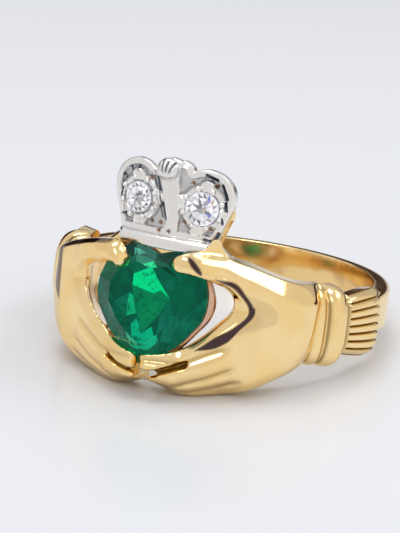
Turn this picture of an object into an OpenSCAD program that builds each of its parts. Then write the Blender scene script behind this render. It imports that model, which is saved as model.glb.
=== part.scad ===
// A ring of two hands that hold a heart stone under a crown.
// Sizes in mm. The finger's axis is Z before the ring is laid down, and the
// face of the ring looks along -Y.

/* [Band] */
// Radius of the finger hole
hole_r = 8.6; // [7.5:0.05:11]
// Thickness of the band
band_thick = 0.98; // [0.8:0.02:2]
// Width of the band
band_width = 2.5; // [1.8:0.05:4]
// Radius of the band's rounded edges
band_round = 0.42; // [0.1:0.02:0.6]
// Angle from the face at which the band starts
band_start = 40; // [30:1:60]

/* [Resting pose] */
// How far the finger's axis leans back from upright
lean_back = 10.57; // [0:0.01:30]
// Height of the hole's middle over the floor
middle_high = 2.915; // [0:0.001:8]
// How far the hole's middle lies behind the ring's middle
middle_back = 1.52; // [-3:0.01:5]

/* [Hands] */
// Angle from the face at which the wrist ends
hand_end = 56; // [50:1:62]
// Reach of the knuckles below the middle of the band
hand_low = 4.8; // [3:0.05:6]
// Reach of the palm above the middle of the band
hand_high = 3.1; // [2:0.05:5]
// Height of the fingers' backs over the finger hole
hand_thick = 3.2; // [2:0.05:4.5]
// Depth of the furrows between the fingers
furrow = 0.34; // [0:0.02:0.6]
// Angle by which the right thumb is longer
thumb_more = 2.6; // [-3:0.1:4]
// How far the left thumb's tip hangs down
thumb_drop = 0.45; // [0:0.05:1]

/* [Cuffs] */
// Angle from the face of the cuff's bead
bead_at = 60; // [55:0.5:66]
// Half height of the bead
bead_high = 2.5; // [1.5:0.02:3]
// How far the bead sits below the middle of the band
bead_drop = 0.1; // [-0.5:0.02:0.5]
// Thickness of the bead
bead_thick = 1.25; // [0.6:0.05:2]
// Height of the bead's middle over the finger hole
bead_rise = 1.35; // [0.6:0.05:2]
// Angle at which the fluted sleeve starts
sleeve_start = 65.3; // [62:0.5:70]
// Angle at which the fluted sleeve ends
sleeve_end = 88; // [80:0.5:100]
// Half height of the sleeve at its narrow end
sleeve_narrow = 1.68; // [1:0.02:2.5]
// Half height of the sleeve at its wide end
sleeve_wide = 2.06; // [1:0.02:3]
// Height of the sleeve over the finger hole
sleeve_thick = 1.45; // [1:0.05:2]
// Number of flutes on a sleeve
flutes = 8; // [4:1:12]
// Depth of the grooves between the flutes
flute_deep = 0.16; // [0:0.02:0.4]

/* [Heart stone] */
// Half width of the heart at its widest
heart_half = 3.45; // [2:0.05:5]
// Distance of the stone's edge from the finger's axis
heart_out = 10.95; // [10:0.05:13]
// Height of the stone's middle over the middle of the band
heart_up = 0.5; // [-1:0.05:2]
// How far the stone leans back
heart_lean = 8; // [0:0.5:20]
// Depth of the stone in front of its edge
heart_crown = 0.85; // [0.3:0.05:1.5]
// Depth of the stone behind its edge
heart_back = 1.6; // [0.8:0.05:2]
// Thickness of the stone's edge
heart_edge = 0.14; // [0.05:0.01:0.3]
// Share of the stone taken by its table
heart_table = 0.68; // [0.4:0.02:0.8]
// Thickness of the wall round the stone
wall_thick = 0.16; // [0.15:0.01:0.5]
// Depth of that wall behind the stone's edge
wall_deep = 1.9; // [1:0.05:3]
// How far that wall narrows towards its back
wall_taper = 0.9; // [0:0.05:1.5]
// Width of the ledge under the stone
ledge = 0.34; // [0.2:0.02:0.6]
// Depth from the middle of the stone's edge to its ledge
seat_deep = 0.42; // [0.3:0.02:0.6]

/* [Crown] */
// Radius of the crown's face round the finger
crown_r = 10.2; // [9.6:0.05:12]
// Thickness of the crown's white plate
crown_thick = 0.5; // [0.25:0.01:0.8]
// Thickness of the yellow back behind the crown
back_thick = 0.45; // [0.3:0.05:1]
// Depth of the engraved fields
field_deep = 0.2; // [0.05:0.01:0.3]
// Width of the polished rims
rim_width = 0.3; // [0.15:0.01:0.5]
// Radius of a side lobe
lobe_r = 1.58; // [1:0.02:2]
// Distance of a side lobe from the middle
lobe_x = 2.12; // [1.5:0.02:3]
// Height of the side lobes' middles
lobe_z = 6.6; // [5:0.05:8]
// Half width of the crown at its waist
waist_half = 2.93; // [2:0.05:4]
// Height of the waist
waist_z = 4.05; // [3:0.05:5]
// Half width of the rail under the crown
rail_half = 2.9; // [2:0.05:4]
// Height of the rail
rail_high = 0.72; // [0.3:0.02:1.2]
// How far the rail stands out from the crown's face
rail_out = 0.42; // [0.2:0.02:1]
// Radius of the ball at the top
ball_r = 0.64; // [0.3:0.02:1]
// Height of the ball's middle
ball_z = 7.8; // [6:0.05:9]
// Width of the pillar under the ball
pillar_width = 0.95; // [0.4:0.05:1.5]

/* [Diamonds] */
// Radius of a diamond
diamond_r = 1.02; // [0.6:0.02:1.4]
// Angle of a diamond from the middle of the face
diamond_at = 11.2; // [8:0.1:16]
// Height of the diamonds' middles
diamond_z = 6.15; // [5:0.05:7]
// Number of grains that hold a diamond
grains = 8; // [4:1:12]
// Radius of a grain
grain_r = 0.17; // [0.08:0.01:0.3]

/* [Fit] */
// Gap kept between two pieces
gap = 0.03; // [0.01:0.01:0.1]
// More room round the stone in the hands than in its setting
hand_clear = 0.06; // [0.03:0.01:0.2]

/* [Hidden] */
$fn = 96;
eps = 0.01;

// Colours
gold = [0.86, 0.68, 0.34];
white_gold = [0.85, 0.85, 0.86];
emerald = [0.05, 0.45, 0.28];
diamond = [0.92, 0.95, 0.98];

// Steps of the lofts
hand_steps = 18;
finger_steps = 4;
sleeve_steps = 5;

// Columns of the hand, from the fingertips to the wrist: angle from the face,
// low edge, three furrows and high edge as shares of the reach, height, back
HAND = [
    [1.4,  0.880,  0.870,  0.860,  0.845,  0.830, 0.84,  0.28],
    [3.0,  0.925,  0.912,  0.890,  0.780,  0.765, 0.91,  0.28],
    [6.0,  0.960,  0.945,  0.915,  0.720,  0.705, 0.96,  0.28],
    [9.0,  0.985,  0.963,  0.918,  0.660,  0.645, 0.98,  0.28],
    [11.5, 0.996,  0.970,  0.912,  0.600,  0.570, 0.985, 0.28],
    [14.0, 0.992,  0.955,  0.875,  0.545,  0.330, 0.97, -0.10],
    [18.0, 0.987,  0.905,  0.800,  0.455,  0.160, 0.95, -0.10],
    [21.7, 0.957,  0.885,  0.715,  0.380,  0.000, 0.92, -0.10],
    [24.2, 0.925,  0.850,  0.650,  0.330, -0.200, 0.90, -0.10],
    [27.0, 0.880,  0.790,  0.570,  0.260, -0.480, 0.88, -0.10],
    [30.0, 0.830,  0.720,  0.480,  0.180, -0.610, 0.87, -0.10],
    [35.0, 0.735,  0.580,  0.330,  0.040, -0.580, 0.86, -0.10],
    [40.0, 0.605,  0.430,  0.200, -0.060, -0.525, 0.83, -0.10],
    [46.3, 0.480,  0.310,  0.100, -0.130, -0.475, 0.77, -0.10],
    [51.6, 0.395,  0.260,  0.060, -0.170, -0.449, 0.70, -0.10],
    [56.0, 0.380,  0.250,  0.050, -0.180, -0.449, 0.62, -0.10]
];
// Columns of the index finger: angle, low edge, high edge, height, back
INDEX = [
    [0.5,  0.640, 0.535, 1.13, 0.30],
    [1.2,  0.660, 0.510, 1.17, 0.28],
    [3.5,  0.660, 0.490, 1.17, 0.28],
    [8.0,  0.610, 0.415, 1.09, 0.28],
    [12.0, 0.575, 0.345, 1.01, 0.30],
    [15.0, 0.530, 0.280, 0.95, 0.32],
    [18.0, 0.470, 0.250, 0.78, 0.34]
];
// Columns of the thumb: share of its length, low edge, high edge, height,
// back of the thumb
THUMB = [
    [0.00, 0.83, 0.95, 1.06, 0.92],
    [0.05, 0.78, 1.04, 1.13, 0.90],
    [0.14, 0.76, 1.11, 1.12, 0.85],
    [0.28, 0.73, 1.14, 1.06, 0.74],
    [0.42, 0.64, 1.16, 1.00, 0.50],
    [0.56, 0.46, 1.10, 0.95, 0.20],
    [0.70, 0.26, 1.02, 0.88, 0.10],
    [0.85, 0.24, 0.90, 0.80, 0.10],
    [1.00, 0.24, 0.74, 0.58, 0.10]
];
// Columns of the heart: share of the half turn, share of the half width
HEART = [
    [0.00, 1.070],
    [0.09, 0.945],
    [0.24, 0.890],
    [0.35, 0.895],
    [0.44, 0.960],
    [0.52, 0.988],
    [0.60, 1.005],
    [0.69, 1.010],
    [0.76, 1.015],
    [0.83, 0.985],
    [0.90, 0.880],
    [0.96, 0.755],
    [1.00, 0.700]
];

// Value of column c of a table at x, on a smooth curve through the rows
function row_at(t, x, i = 0) =
    i >= len(t) - 2 || x < t[i + 1][0] ? i : row_at(t, x, i + 1);
function slope(t, c, i) =
    let (a = max(i - 1, 0), b = min(i + 1, len(t) - 1))
    (t[b][c] - t[a][c]) / (t[b][0] - t[a][0]);
function at(t, c, x) =
    let (i = row_at(t, x), w = t[i + 1][0] - t[i][0],
         s = min(max((x - t[i][0]) / w, 0), 1),
         a = t[i][c], b = t[i + 1][c],
         m = slope(t, c, i) * w, n = slope(t, c, i + 1) * w)
    a * (1 + 2 * s) * (1 - s) * (1 - s) + m * s * (1 - s) * (1 - s)
    + b * s * s * (3 - 2 * s) - n * s * s * (1 - s);

// Point at an angle a from the face, a distance r out, at the height z
function about(r, a, z) = [r * sin(a), -r * cos(a), z];

// Solid through closed rings of points
module loft(rings) {
    n = len(rings[0]);
    m = len(rings);
    sides = [for (i = [0:m - 2]) for (j = [0:n - 1])
        let (a = i * n + j, b = i * n + (j + 1) % n)
        for (f = [[a, b, a + n], [b, b + n, a + n]]) f];
    first = [for (j = [1:n - 2]) [0, j + 1, j]];
    last = [for (j = [1:n - 2]) [(m - 1) * n, (m - 1) * n + j, (m - 1) * n + j + 1]];
    polyhedron([for (r = rings) for (p = r) p], concat(sides, first, last), convexity = 8);
}

// Outer points of a section: bounds runs from its low edge over the furrows to
// its high edge, bump is the furrows' depth, soft and dome round the two edges
function backs(bounds, r, bump, soft, dome, steps) = [
    for (k = [0:len(bounds) - 2]) for (j = [0:steps - 1])
        let (s = j / steps, z = bounds[k] + (bounds[k + 1] - bounds[k]) * s,
             t = (z - bounds[0]) / (bounds[len(bounds) - 1] - bounds[0]))
        [r - soft * pow(1 - t, 3) - dome * pow(t, 6) - bump * (1 - sin(180 * s)), z]
];

function reach(t, c, a) = -hand_low * at(t, c, a);
function over(t, c, a) = hole_r + hand_thick * at(t, c, a);

function hand_ring(a) =
    let (high = reach(HAND, 5, a), low = reach(HAND, 1, a), r = over(HAND, 6, a), b = over(HAND, 7, a),
         fade = pow(max(1 - a / 33, 0), 0.6) * min(1, a / 9),
         dome = 0.25 + 0.75 * min(1, max(0, (a - 24) / 8)),
         out = backs([for (c = [1:5]) reach(HAND, c, a)], r, furrow * fade, 0.9, dome, finger_steps))
    concat([for (p = out) about(p[0], a, p[1])],
        [about(r - dome - 0.1, a, high), about(b, a, high - 0.05), about(b, a, low + 0.3)]);

function index_ring(a) =
    let (low = reach(INDEX, 1, a), high = reach(INDEX, 2, a), r = over(INDEX, 3, a), b = over(INDEX, 4, a))
    concat([for (p = backs([low, high], r, 0.2, 0.35, 0.2, 6)) about(p[0], a, p[1])],
        [about(r - 0.3, a, high), about(b, a, high), about(b, a, low)]);

function thumb_ring(x, more, drop) =
    let (a = (9 - more) + (29 + more) * x, d = drop * pow(1 - x, 3),
         low = hand_high * at(THUMB, 1, x) - d, high = hand_high * at(THUMB, 2, x) - 0.6 * d,
         r = hole_r + hand_thick * at(THUMB, 3, x), b = hole_r + hand_thick * at(THUMB, 4, x))
    [about(r - 0.45, a, low), about(r - 0.1, a, low + (high - low) * 0.14),
     about(r, a, low + (high - low) * 0.4), about(r - 0.06, a, low + (high - low) * 0.66),
     about(r - 0.28, a, low + (high - low) * 0.9), about(r - 0.5, a, high),
     about(b, a, high), about(b, a, low)];

module hand(more, drop) {
    loft([for (a = concat([1.4, 2, 3, 5, 8, 10.5, 12.5], [for (k = [0:hand_steps]) 14.5 + (hand_end - 14.5)
        * k / hand_steps])) hand_ring(a)]);
    loft([for (a = [0.5, 0.8, 1.4, 3.5, 6, 9, 12, 15, 18]) index_ring(a)]);
    loft([for (x = [0, 0.05, 0.1, 0.18, 0.28, 0.38, 0.48, 0.58, 0.7, 0.85, 1]) thumb_ring(x, more, drop)]);
}

// Rounded roll that goes round the band at the wrist
module bead() {
    n = 18;
    loft([for (k = [-3:3])
        let (s = k / 3.2, w = sqrt(1 - s * s), a = bead_at + s * bead_thick * 2.9)
        [for (j = [0:n - 1])
            let (u = 360 * j / n, c = cos(u), d = sin(u),
                 q = pow(pow(abs(c), 3) + pow(abs(d), 3), -1 / 3),
                 h = bead_high - 0.34 * (1 - w), g = bead_rise - 0.34 * (1 - w))
            about(hole_r + g * max(c * q, -0.2), a, h * d * q - bead_drop)]]);
}

// Fluted sleeve between the wrist and the band
module sleeve() {
    per = 4;
    n = flutes * per;
    loft([for (k = [0:sleeve_steps])
        let (x = k / sleeve_steps, a = sleeve_start + (sleeve_end - sleeve_start) * x,
             h = sleeve_narrow + (sleeve_wide - sleeve_narrow) * sin(90 * x) - 0.3 * pow(x, 9),
             g = sleeve_thick - 0.25 * pow(x, 9))
        concat([for (j = [0:n])
            let (t = -1 + 2 * j / n, s = (j % per) / per,
                 d = j == 0 || j == n ? 0 : flute_deep * (1 - sin(180 * s)))
            about(hole_r + g - d - 0.75 * pow(abs(t), 5), a + 0.6 * sin(180 * s), h * t)],
            [about(hole_r - 0.3, a, h * 0.9), about(hole_r - 0.3, a, -h * 0.9)])]);
}

// Band behind the hands, with its rounded section
module band() {
    rotate([0, 0, band_start - 90])
        rotate_extrude(angle = 360 - 2 * band_start, $fn = 160) band_section();
}

module band_section() {
    a = hole_r - 0.2;
    b = hole_r + band_thick;
    h = band_width / 2;
    union() {
        translate([a, -h + band_round]) square([b - a, band_width - 2 * band_round]);
        translate([a, -h]) square([b - a - band_round, band_width]);
        for (s = [-1, 1]) translate([b - band_round, s * (h - band_round)]) circle(r = band_round, $fn = 48);
    }
}

// Points of the heart: u runs from the tip at 0 round to the tip at 2
function heart_point(u, grow) =
    let (v = u <= 1 ? u : 2 - u, side = u <= 1 ? 1 : -1, a = -90 + 180 * v,
         r = heart_half * at(HEART, 1, v) + grow)
    [side * r * cos(a), r * sin(a)];
function heart_outline(n, grow) = [for (k = [0:n - 1]) heart_point(2 * k / n, grow)];
function circle_outline(n, r) = [for (k = [0:n - 1]) [r * sin(360 * k / n), -r * cos(360 * k / n)]];

// Cut stone on an outline of 2 m points: its face looks along -Y
module cut_stone(outline, table, crown, back, edge) {
    n = len(outline);
    m = n / 2;
    front = edge / 2;
    star = (1 + table) / 2 - 0.035;
    mid = 0.5;
    points = concat(
        [for (k = [0:m - 1]) [outline[2 * k][0] * table, -front - crown, outline[2 * k][1] * table]],
        [for (k = [0:m - 1]) [outline[2 * k + 1][0] * star, -front - crown * 0.55, outline[2 * k + 1][1] * star]],
        [for (p = outline) [p[0], -front, p[1]]],
        [for (p = outline) [p[0], front, p[1]]],
        [for (k = [0:m - 1]) [outline[2 * k + 1][0] * mid, front + back * 0.56, outline[2 * k + 1][1] * mid]],
        [[0, front + back, 0]]);
    g = 2 * m;
    h = g + n;
    p = h + n;
    faces = concat(
        [concat([0], [for (k = [m - 1:-1:1]) k])],
        [for (k = [0:m - 1]) let (j = (k + 1) % m, i = (k + m - 1) % m)
            for (f = [[k, j, m + k], [k, m + k, g + 2 * k], [k, g + 2 * k, m + i],
                      [m + k, g + 2 * k + 1, g + 2 * k], [m + k, g + (2 * k + 2) % n, g + 2 * k + 1]]) f],
        [for (k = [0:n - 1]) let (j = (k + 1) % n) for (f = [[g + k, g + j, h + j], [g + k, h + j, h + k]]) f],
        [for (k = [0:m - 1]) let (j = (k + 1) % m, i = (k + m - 1) % m)
            for (f = [[h + 2 * k, h + 2 * k + 1, p + k], [h + 2 * k + 1, h + (2 * k + 2) % n, p + k],
                      [h + 2 * k, p + k, p + m], [h + 2 * k, p + m, p + i]]) f]);
    polyhedron(points, faces, convexity = 4);
}

module at_heart() {
    translate([0, -heart_out, heart_up]) rotate([-heart_lean, 0, 0]) children();
}

module heart_solid() {
    at_heart() cut_stone(heart_outline(28, 0), heart_table, heart_crown, heart_back, heart_edge);
}

// Wall round the stone, which narrows behind it
function heart_ring(y, grow) = [for (p = heart_outline(28, grow)) [p[0], y, p[1]]];
module heart_wall() {
    at_heart() loft([heart_ring(-0.04, wall_thick), heart_ring(0.35, wall_thick),
        heart_ring(wall_deep, wall_thick - wall_taper)]);
}

// Room that the stone's edge and front need, with more of it in the hands
module heart_room(more = 0) {
    edge = heart_edge / 2 + gap + more;
    at_heart() loft([heart_ring(-edge - heart_crown - gap, -heart_half * (1 - heart_table) * 0.9 + more),
        heart_ring(-edge, gap + more), heart_ring(seat_deep + more, gap + more)]);
}

// Opening behind the stone, with a ledge left under the stone's edge
module heart_window() {
    at_heart() loft([heart_ring(0.12, -ledge), heart_ring(wall_deep + 0.4, -ledge - wall_taper * 0.8)]);
}

// Flat shape pressed onto the rounds between two radii from the finger's axis
module on_round(r1, r2) {
    intersection() {
        difference() {
            cylinder(r = r2, h = 12);
            translate([0, 0, -1]) cylinder(r = r1, h = 14);
        }
        rotate([90, 0, 0]) linear_extrude(14) children();
    }
}

module crown_shape(inset) {
    for (s = [-1, 1]) translate([s * lobe_x, lobe_z]) circle(r = lobe_r - inset);
    polygon([[-waist_half + inset, waist_z + inset], [waist_half - inset, waist_z + inset],
        [lobe_x + lobe_r - inset - 0.06, lobe_z - 0.5], [lobe_x, lobe_z + lobe_r - inset],
        [0.6, lobe_z + lobe_r - 0.6 - inset], [-0.6, lobe_z + lobe_r - 0.6 - inset],
        [-lobe_x, lobe_z + lobe_r - inset], [-lobe_x - lobe_r + inset + 0.06, lobe_z - 0.5]]);
}

module rail_shape() {
    polygon([[-rail_half, waist_z - rail_high], [rail_half, waist_z - rail_high],
        [rail_half - 0.07, waist_z], [-rail_half + 0.07, waist_z]]);
}

module ball_shape(grow) {
    translate([0, ball_z - 0.3]) circle(r = ball_r + 0.36 + grow);
}

module pillar_shape() {
    polygon([[-pillar_width * 0.42, waist_z + 0.3], [pillar_width * 0.42, waist_z + 0.3],
        [pillar_width / 2, ball_z], [-pillar_width / 2, ball_z]]);
}

module at_diamond(side) {
    rotate([0, 0, side * diamond_at]) translate([0, -crown_r + 0.06, diamond_z]) children();
}

module diamond_solid() {
    cut_stone(circle_outline(16, diamond_r), 0.56, 0.3, 0.86, 0.06);
}

module diamond_seat() {
    translate([0, 0, 0]) rotate([-90, 0, 0]) {
        translate([0, 0, -1.5]) cylinder(r = diamond_r + gap, h = 1.5 + 0.03 + gap);
        translate([0, 0, 0.03 + gap - eps])
            cylinder(r1 = diamond_r + gap, r2 = 0.12, h = 0.95);
    }
}

// Rim cuts of the engraved fields, in a fan round each diamond
module rim_cuts() {
    for (s = [-1, 1], k = [0:8])
        rotate([0, 0, s * 11.8]) translate([0, 0, 6.3])
            rotate([0, s * (-70 + 26 * k), 0])
                translate([-0.11, -crown_r - 0.3, 1.2]) cube([0.22, 0.72, 0.22]);
}

module white_crown() {
    difference() {
        union() {
            difference() {
                on_round(crown_r - crown_thick, crown_r) { crown_shape(0); ball_shape(0); }
                on_round(crown_r - field_deep, crown_r + 1) crown_shape(rim_width);
            }
            on_round(crown_r - crown_thick, crown_r + 0.04) pillar_shape();
            on_round(crown_r - crown_thick, crown_r + rail_out) rail_shape();
            translate([0, -crown_r + 0.05, ball_z]) sphere(r = ball_r, $fn = 48);
            for (s = [-1, 1], k = [0:grains - 1]) at_diamond(s)
                rotate([0, 360 * (k + 0.5) / grains, 0])
                    translate([0, 0.1, diamond_r + 0.12]) sphere(r = grain_r, $fn = 24);
        }
        for (s = [-1, 1]) at_diamond(s) diamond_seat();
        for (s = [-1, 1], k = [0:1]) for (t = [-1, 0, 1])
            translate([t * 0.26, -crown_r - 0.82, ball_z + 0.1]) rotate([0, t * 24, 0])
                translate([-0.04, 0, -0.4]) cube([0.08, 0.32, 0.7]);
        rim_cuts();
        cylinder(r = crown_r - crown_thick - eps, h = 12);
        heart_room();
    }
}

// Room that the crown's plate and rail need
module crown_room() {
    on_round(crown_r - crown_thick - gap, 14) { crown_shape(-gap); ball_shape(gap); }
    on_round(crown_r - crown_thick - gap, crown_r + rail_out + gap)
        translate([0, 0]) polygon([[-rail_half - gap, waist_z - rail_high - gap],
            [rail_half + gap, waist_z - rail_high - gap], [rail_half + gap, waist_z + 0.1],
            [-rail_half - gap, waist_z + 0.1]]);
}

// Yellow back that carries the crown, with its spread feet on the thumbs
module crown_back() {
    wide = lobe_x + lobe_r - 0.2;
    on_round(crown_r - crown_thick - back_thick, crown_r - crown_thick - 1.5 * gap)
        polygon([[-waist_half, waist_z - 1.4], [waist_half, waist_z - 1.4], [waist_half, waist_z],
            [wide, lobe_z - 1], [wide - 0.2, lobe_z + 0.2], [-wide + 0.2, lobe_z + 0.2],
            [-wide, lobe_z - 1], [-waist_half, waist_z]]);
    foot = waist_z - 0.2;
    on_round(hole_r + 0.3, crown_r + 0.4)
        polygon([[-waist_half - 1.27, foot - 1.45], [waist_half + 1.27, foot - 1.45],
            [waist_half + 1.17, foot - 0.75], [waist_half + 0.37, foot],
            [-waist_half - 0.37, foot], [-waist_half - 1.17, foot - 0.75]]);
}

module clear_back() {
    difference() {
        crown_back();
        heart_room(hand_clear);
        at_heart() loft([heart_ring(0, gap), heart_ring(wall_deep, gap - wall_taper)]);
    }
}

module lay_down() {
    translate([0, middle_back, middle_high]) rotate([-lean_back, 0, 0]) children();
}

module setting() {
    difference() {
        heart_wall();
        heart_room();
        heart_window();
    }
}

module clear_hand(more, drop) {
    difference() {
        hand(more, drop);
        heart_room(hand_clear);
    }
}

module ring_body() {
    color(gold) lay_down() difference() {
        union() {
            band();
            clear_hand(thumb_more, 0);
            mirror([1, 0, 0]) clear_hand(0, thumb_drop);
            for (s = [0, 1]) mirror([s, 0, 0]) { bead(); sleeve(); }
            setting();
            clear_back();
        }
        translate([0, 0, -10]) cylinder(r = hole_r, h = 24, $fn = 160);
        crown_room();
        for (s = [-1, 1]) at_diamond(s) diamond_seat();
    }
}

module crown() { color(white_gold) lay_down() white_crown(); }
module heart_stone() { color(emerald) lay_down() heart_solid(); }
module diamond_left() { color(diamond) lay_down() at_diamond(-1) diamond_solid(); }
module diamond_right() { color(diamond) lay_down() at_diamond(1) diamond_solid(); }

ring_body();
crown();
heart_stone();
diamond_left();
diamond_right();
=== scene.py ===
"""Claddagh ring of yellow and white gold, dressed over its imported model.

Two polished hands hold a heart of green stone under a white crown.  Every
piece is shaped in the ring's own frame, in millimetres, with the finger's axis
along Z and the face towards -Y, and is then laid on its side in metres.
"""
from __future__ import annotations

import logging
import math
import random
from dataclasses import dataclass, field
from enum import Enum
from typing import Callable, Sequence

import bmesh
import bpy
import numpy as np
from mathutils import Matrix, Vector, geometry


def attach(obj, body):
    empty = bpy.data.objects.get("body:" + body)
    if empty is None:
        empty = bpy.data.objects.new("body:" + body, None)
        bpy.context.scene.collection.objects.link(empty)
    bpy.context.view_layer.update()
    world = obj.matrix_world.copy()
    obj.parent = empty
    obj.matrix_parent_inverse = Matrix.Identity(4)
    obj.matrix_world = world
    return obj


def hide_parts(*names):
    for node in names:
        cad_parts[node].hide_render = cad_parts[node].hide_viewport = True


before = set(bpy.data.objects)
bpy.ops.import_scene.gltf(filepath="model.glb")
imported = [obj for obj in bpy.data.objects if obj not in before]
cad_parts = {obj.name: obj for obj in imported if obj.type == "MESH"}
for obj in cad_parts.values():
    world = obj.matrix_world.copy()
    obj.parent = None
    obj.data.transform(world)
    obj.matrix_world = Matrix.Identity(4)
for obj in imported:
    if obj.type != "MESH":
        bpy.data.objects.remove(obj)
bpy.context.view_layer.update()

LOG = logging.getLogger("claddagh_ring")
MM = 0.001
HOLE = 8.6
GRID = 240
Ring = list[Vector]
Flat = tuple[float, float]
Span = tuple[float, float]
Triple = tuple[float, float, float]
Colour = Triple
Amount = float | np.ndarray
Curve = tuple[tuple[float, ...], tuple[float, ...]]

# Columns of the hand: angle from the face, rise, then its low edge, the lower
# edge of the index finger and its high edge as shares of the reach
RISE, LOW, SPLIT, HIGH = 1, 2, 3, 4
HAND = [
    [1.4, 0.84, 0.880, 0.845, 0.830],
    [3.0, 0.91, 0.925, 0.780, 0.765],
    [6.0, 0.96, 0.960, 0.720, 0.705],
    [9.0, 0.98, 0.985, 0.660, 0.645],
    [11.5, 0.985, 0.996, 0.600, 0.570],
    [14.0, 0.97, 0.992, 0.545, 0.330],
    [18.0, 0.95, 0.987, 0.455, 0.160],
    [21.7, 0.92, 0.957, 0.380, 0.000],
    [24.2, 0.90, 0.925, 0.330, -0.200],
    [27.0, 0.88, 0.880, 0.260, -0.480],
    [30.0, 0.87, 0.830, 0.180, -0.610],
    [35.0, 0.86, 0.735, 0.040, -0.580],
    [40.0, 0.83, 0.605, -0.060, -0.525],
    [46.3, 0.74, 0.480, -0.130, -0.475],
    [51.6, 0.61, 0.395, -0.170, -0.449],
    [56.0, 0.40, 0.380, -0.180, -0.449],
]
# Columns of the index finger: angle from the face, rise
INDEX = [[0.5, 1.13], [1.2, 1.17], [3.5, 1.17], [8.0, 1.09], [12.0, 1.01], [15.0, 0.95],
         [18.0, 0.78]]
# Columns of the thumb: share of its length, rise, rise of its back
BACK = 2
THUMB = [
    [0.00, 1.06, 0.92],
    [0.05, 1.13, 0.90],
    [0.14, 1.12, 0.85],
    [0.28, 1.06, 0.74],
    [0.42, 1.00, 0.50],
    [0.56, 0.95, 0.20],
    [0.70, 0.90, 0.10],
    [0.85, 0.875, 0.10],
    [1.00, 0.86, 0.10],
]
# Columns of the heart: share of the half turn, share of the half width
WIDTH = 1
HEART = [
    [0.00, 1.070], [0.09, 0.945], [0.24, 0.890], [0.35, 0.895], [0.44, 0.960],
    [0.52, 0.988], [0.60, 1.005], [0.69, 1.010], [0.76, 1.015], [0.83, 0.985],
    [0.90, 0.890], [0.96, 0.795], [1.00, 0.755],
]


def read(table: Sequence[Sequence[float]], column: int, x: float) -> float:
    """Read a column of a table on a smooth curve through its rows.

    Args:
        table: Rows that start with their place.
        column: Column to read.
        x: Place between the rows.

    Returns:
        The column's value there.
    """
    i = 0
    while i < len(table) - 2 and x >= table[i + 1][0]:
        i += 1

    def slope(k: int) -> float:
        """Slope of the column at row k."""
        a, b = max(k - 1, 0), min(k + 1, len(table) - 1)
        return (table[b][column] - table[a][column]) / (table[b][0] - table[a][0])

    width = table[i + 1][0] - table[i][0]
    s = min(max((x - table[i][0]) / width, 0.0), 1.0)
    a, b = table[i][column], table[i + 1][column]
    m, n = slope(i) * width, slope(i + 1) * width
    return (a * (1 + 2 * s) * (1 - s) ** 2 + m * s * (1 - s) ** 2
            + b * s * s * (3 - 2 * s) - n * s * s * (1 - s))


def spread(table: Sequence[Sequence[float]], column: int, x: np.ndarray) -> np.ndarray:
    """Read a column of a table at many places."""
    grid = np.linspace(table[0][0], table[-1][0], GRID)
    return np.interp(x, grid, [read(table, column, g) for g in grid])


def about(r: float, angle: float, z: float) -> Vector:
    """Point at an angle in degrees from the face, a distance out and a height."""
    a = math.radians(angle)
    return Vector((r * math.sin(a), -r * math.cos(a), z))


def rising(x: Amount, span: Span) -> Amount:
    """Share of the way through a span, eased at both ends."""
    t = np.clip((x - span[0]) / (span[1] - span[0]), 0.0, 1.0)
    return t * t * (3 - 2 * t)


def falling(x: Amount, span: Span) -> Amount:
    """Share of a span that is left, eased at both ends."""
    return 1 - rising(x, span)


def bell(x: Amount, middle: float, half: float) -> Amount:
    """Bell curve of height 1 round a middle."""
    return np.exp(-((x - middle) / half) ** 2)


def distance(line: np.ndarray, x: np.ndarray, z: np.ndarray) -> np.ndarray:
    """Distance of flat points from a line.

    Args:
        line: Corners of the line.
        x: Places of the points across.
        z: Heights of the points.

    Returns:
        The shortest distance of each point.
    """
    best = np.full(len(x), 99.0)
    for (x1, z1), (x2, z2) in zip(line, line[1:]):
        dx, dz = x2 - x1, z2 - z1
        t = np.clip(((x - x1) * dx + (z - z1) * dz) / (dx * dx + dz * dz + 1e-12), 0, 1)
        best = np.minimum(best, np.hypot(x - x1 - t * dx, z - z1 - t * dz))
    return best


@dataclass(frozen=True)
class Pose:
    """How the ring lies on its side."""

    lean: float = 10.57
    high: float = 2.915
    back: float = 1.52
    clear: float = 0.01

    def middle(self) -> Vector:
        """Origin of the ring's frame in the row's, in metres."""
        return Vector((0.0, self.back * MM, self.high * MM))

    def matrix(self) -> Matrix:
        """Matrix from the ring's frame in millimetres to the row's in metres."""
        turn = Matrix.Rotation(math.radians(-self.lean), 4, "X")
        return Matrix.Scale(MM, 4) @ Matrix.Translation((0, self.back, self.high)) @ turn

    def floor(self, y: np.ndarray) -> np.ndarray:
        """Height of the floor in the ring's frame, at places from front to back."""
        a = math.radians(self.lean)
        return y * math.tan(a) - (self.high - self.clear) / math.cos(a)


POSE = Pose()


# Bench tools


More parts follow.
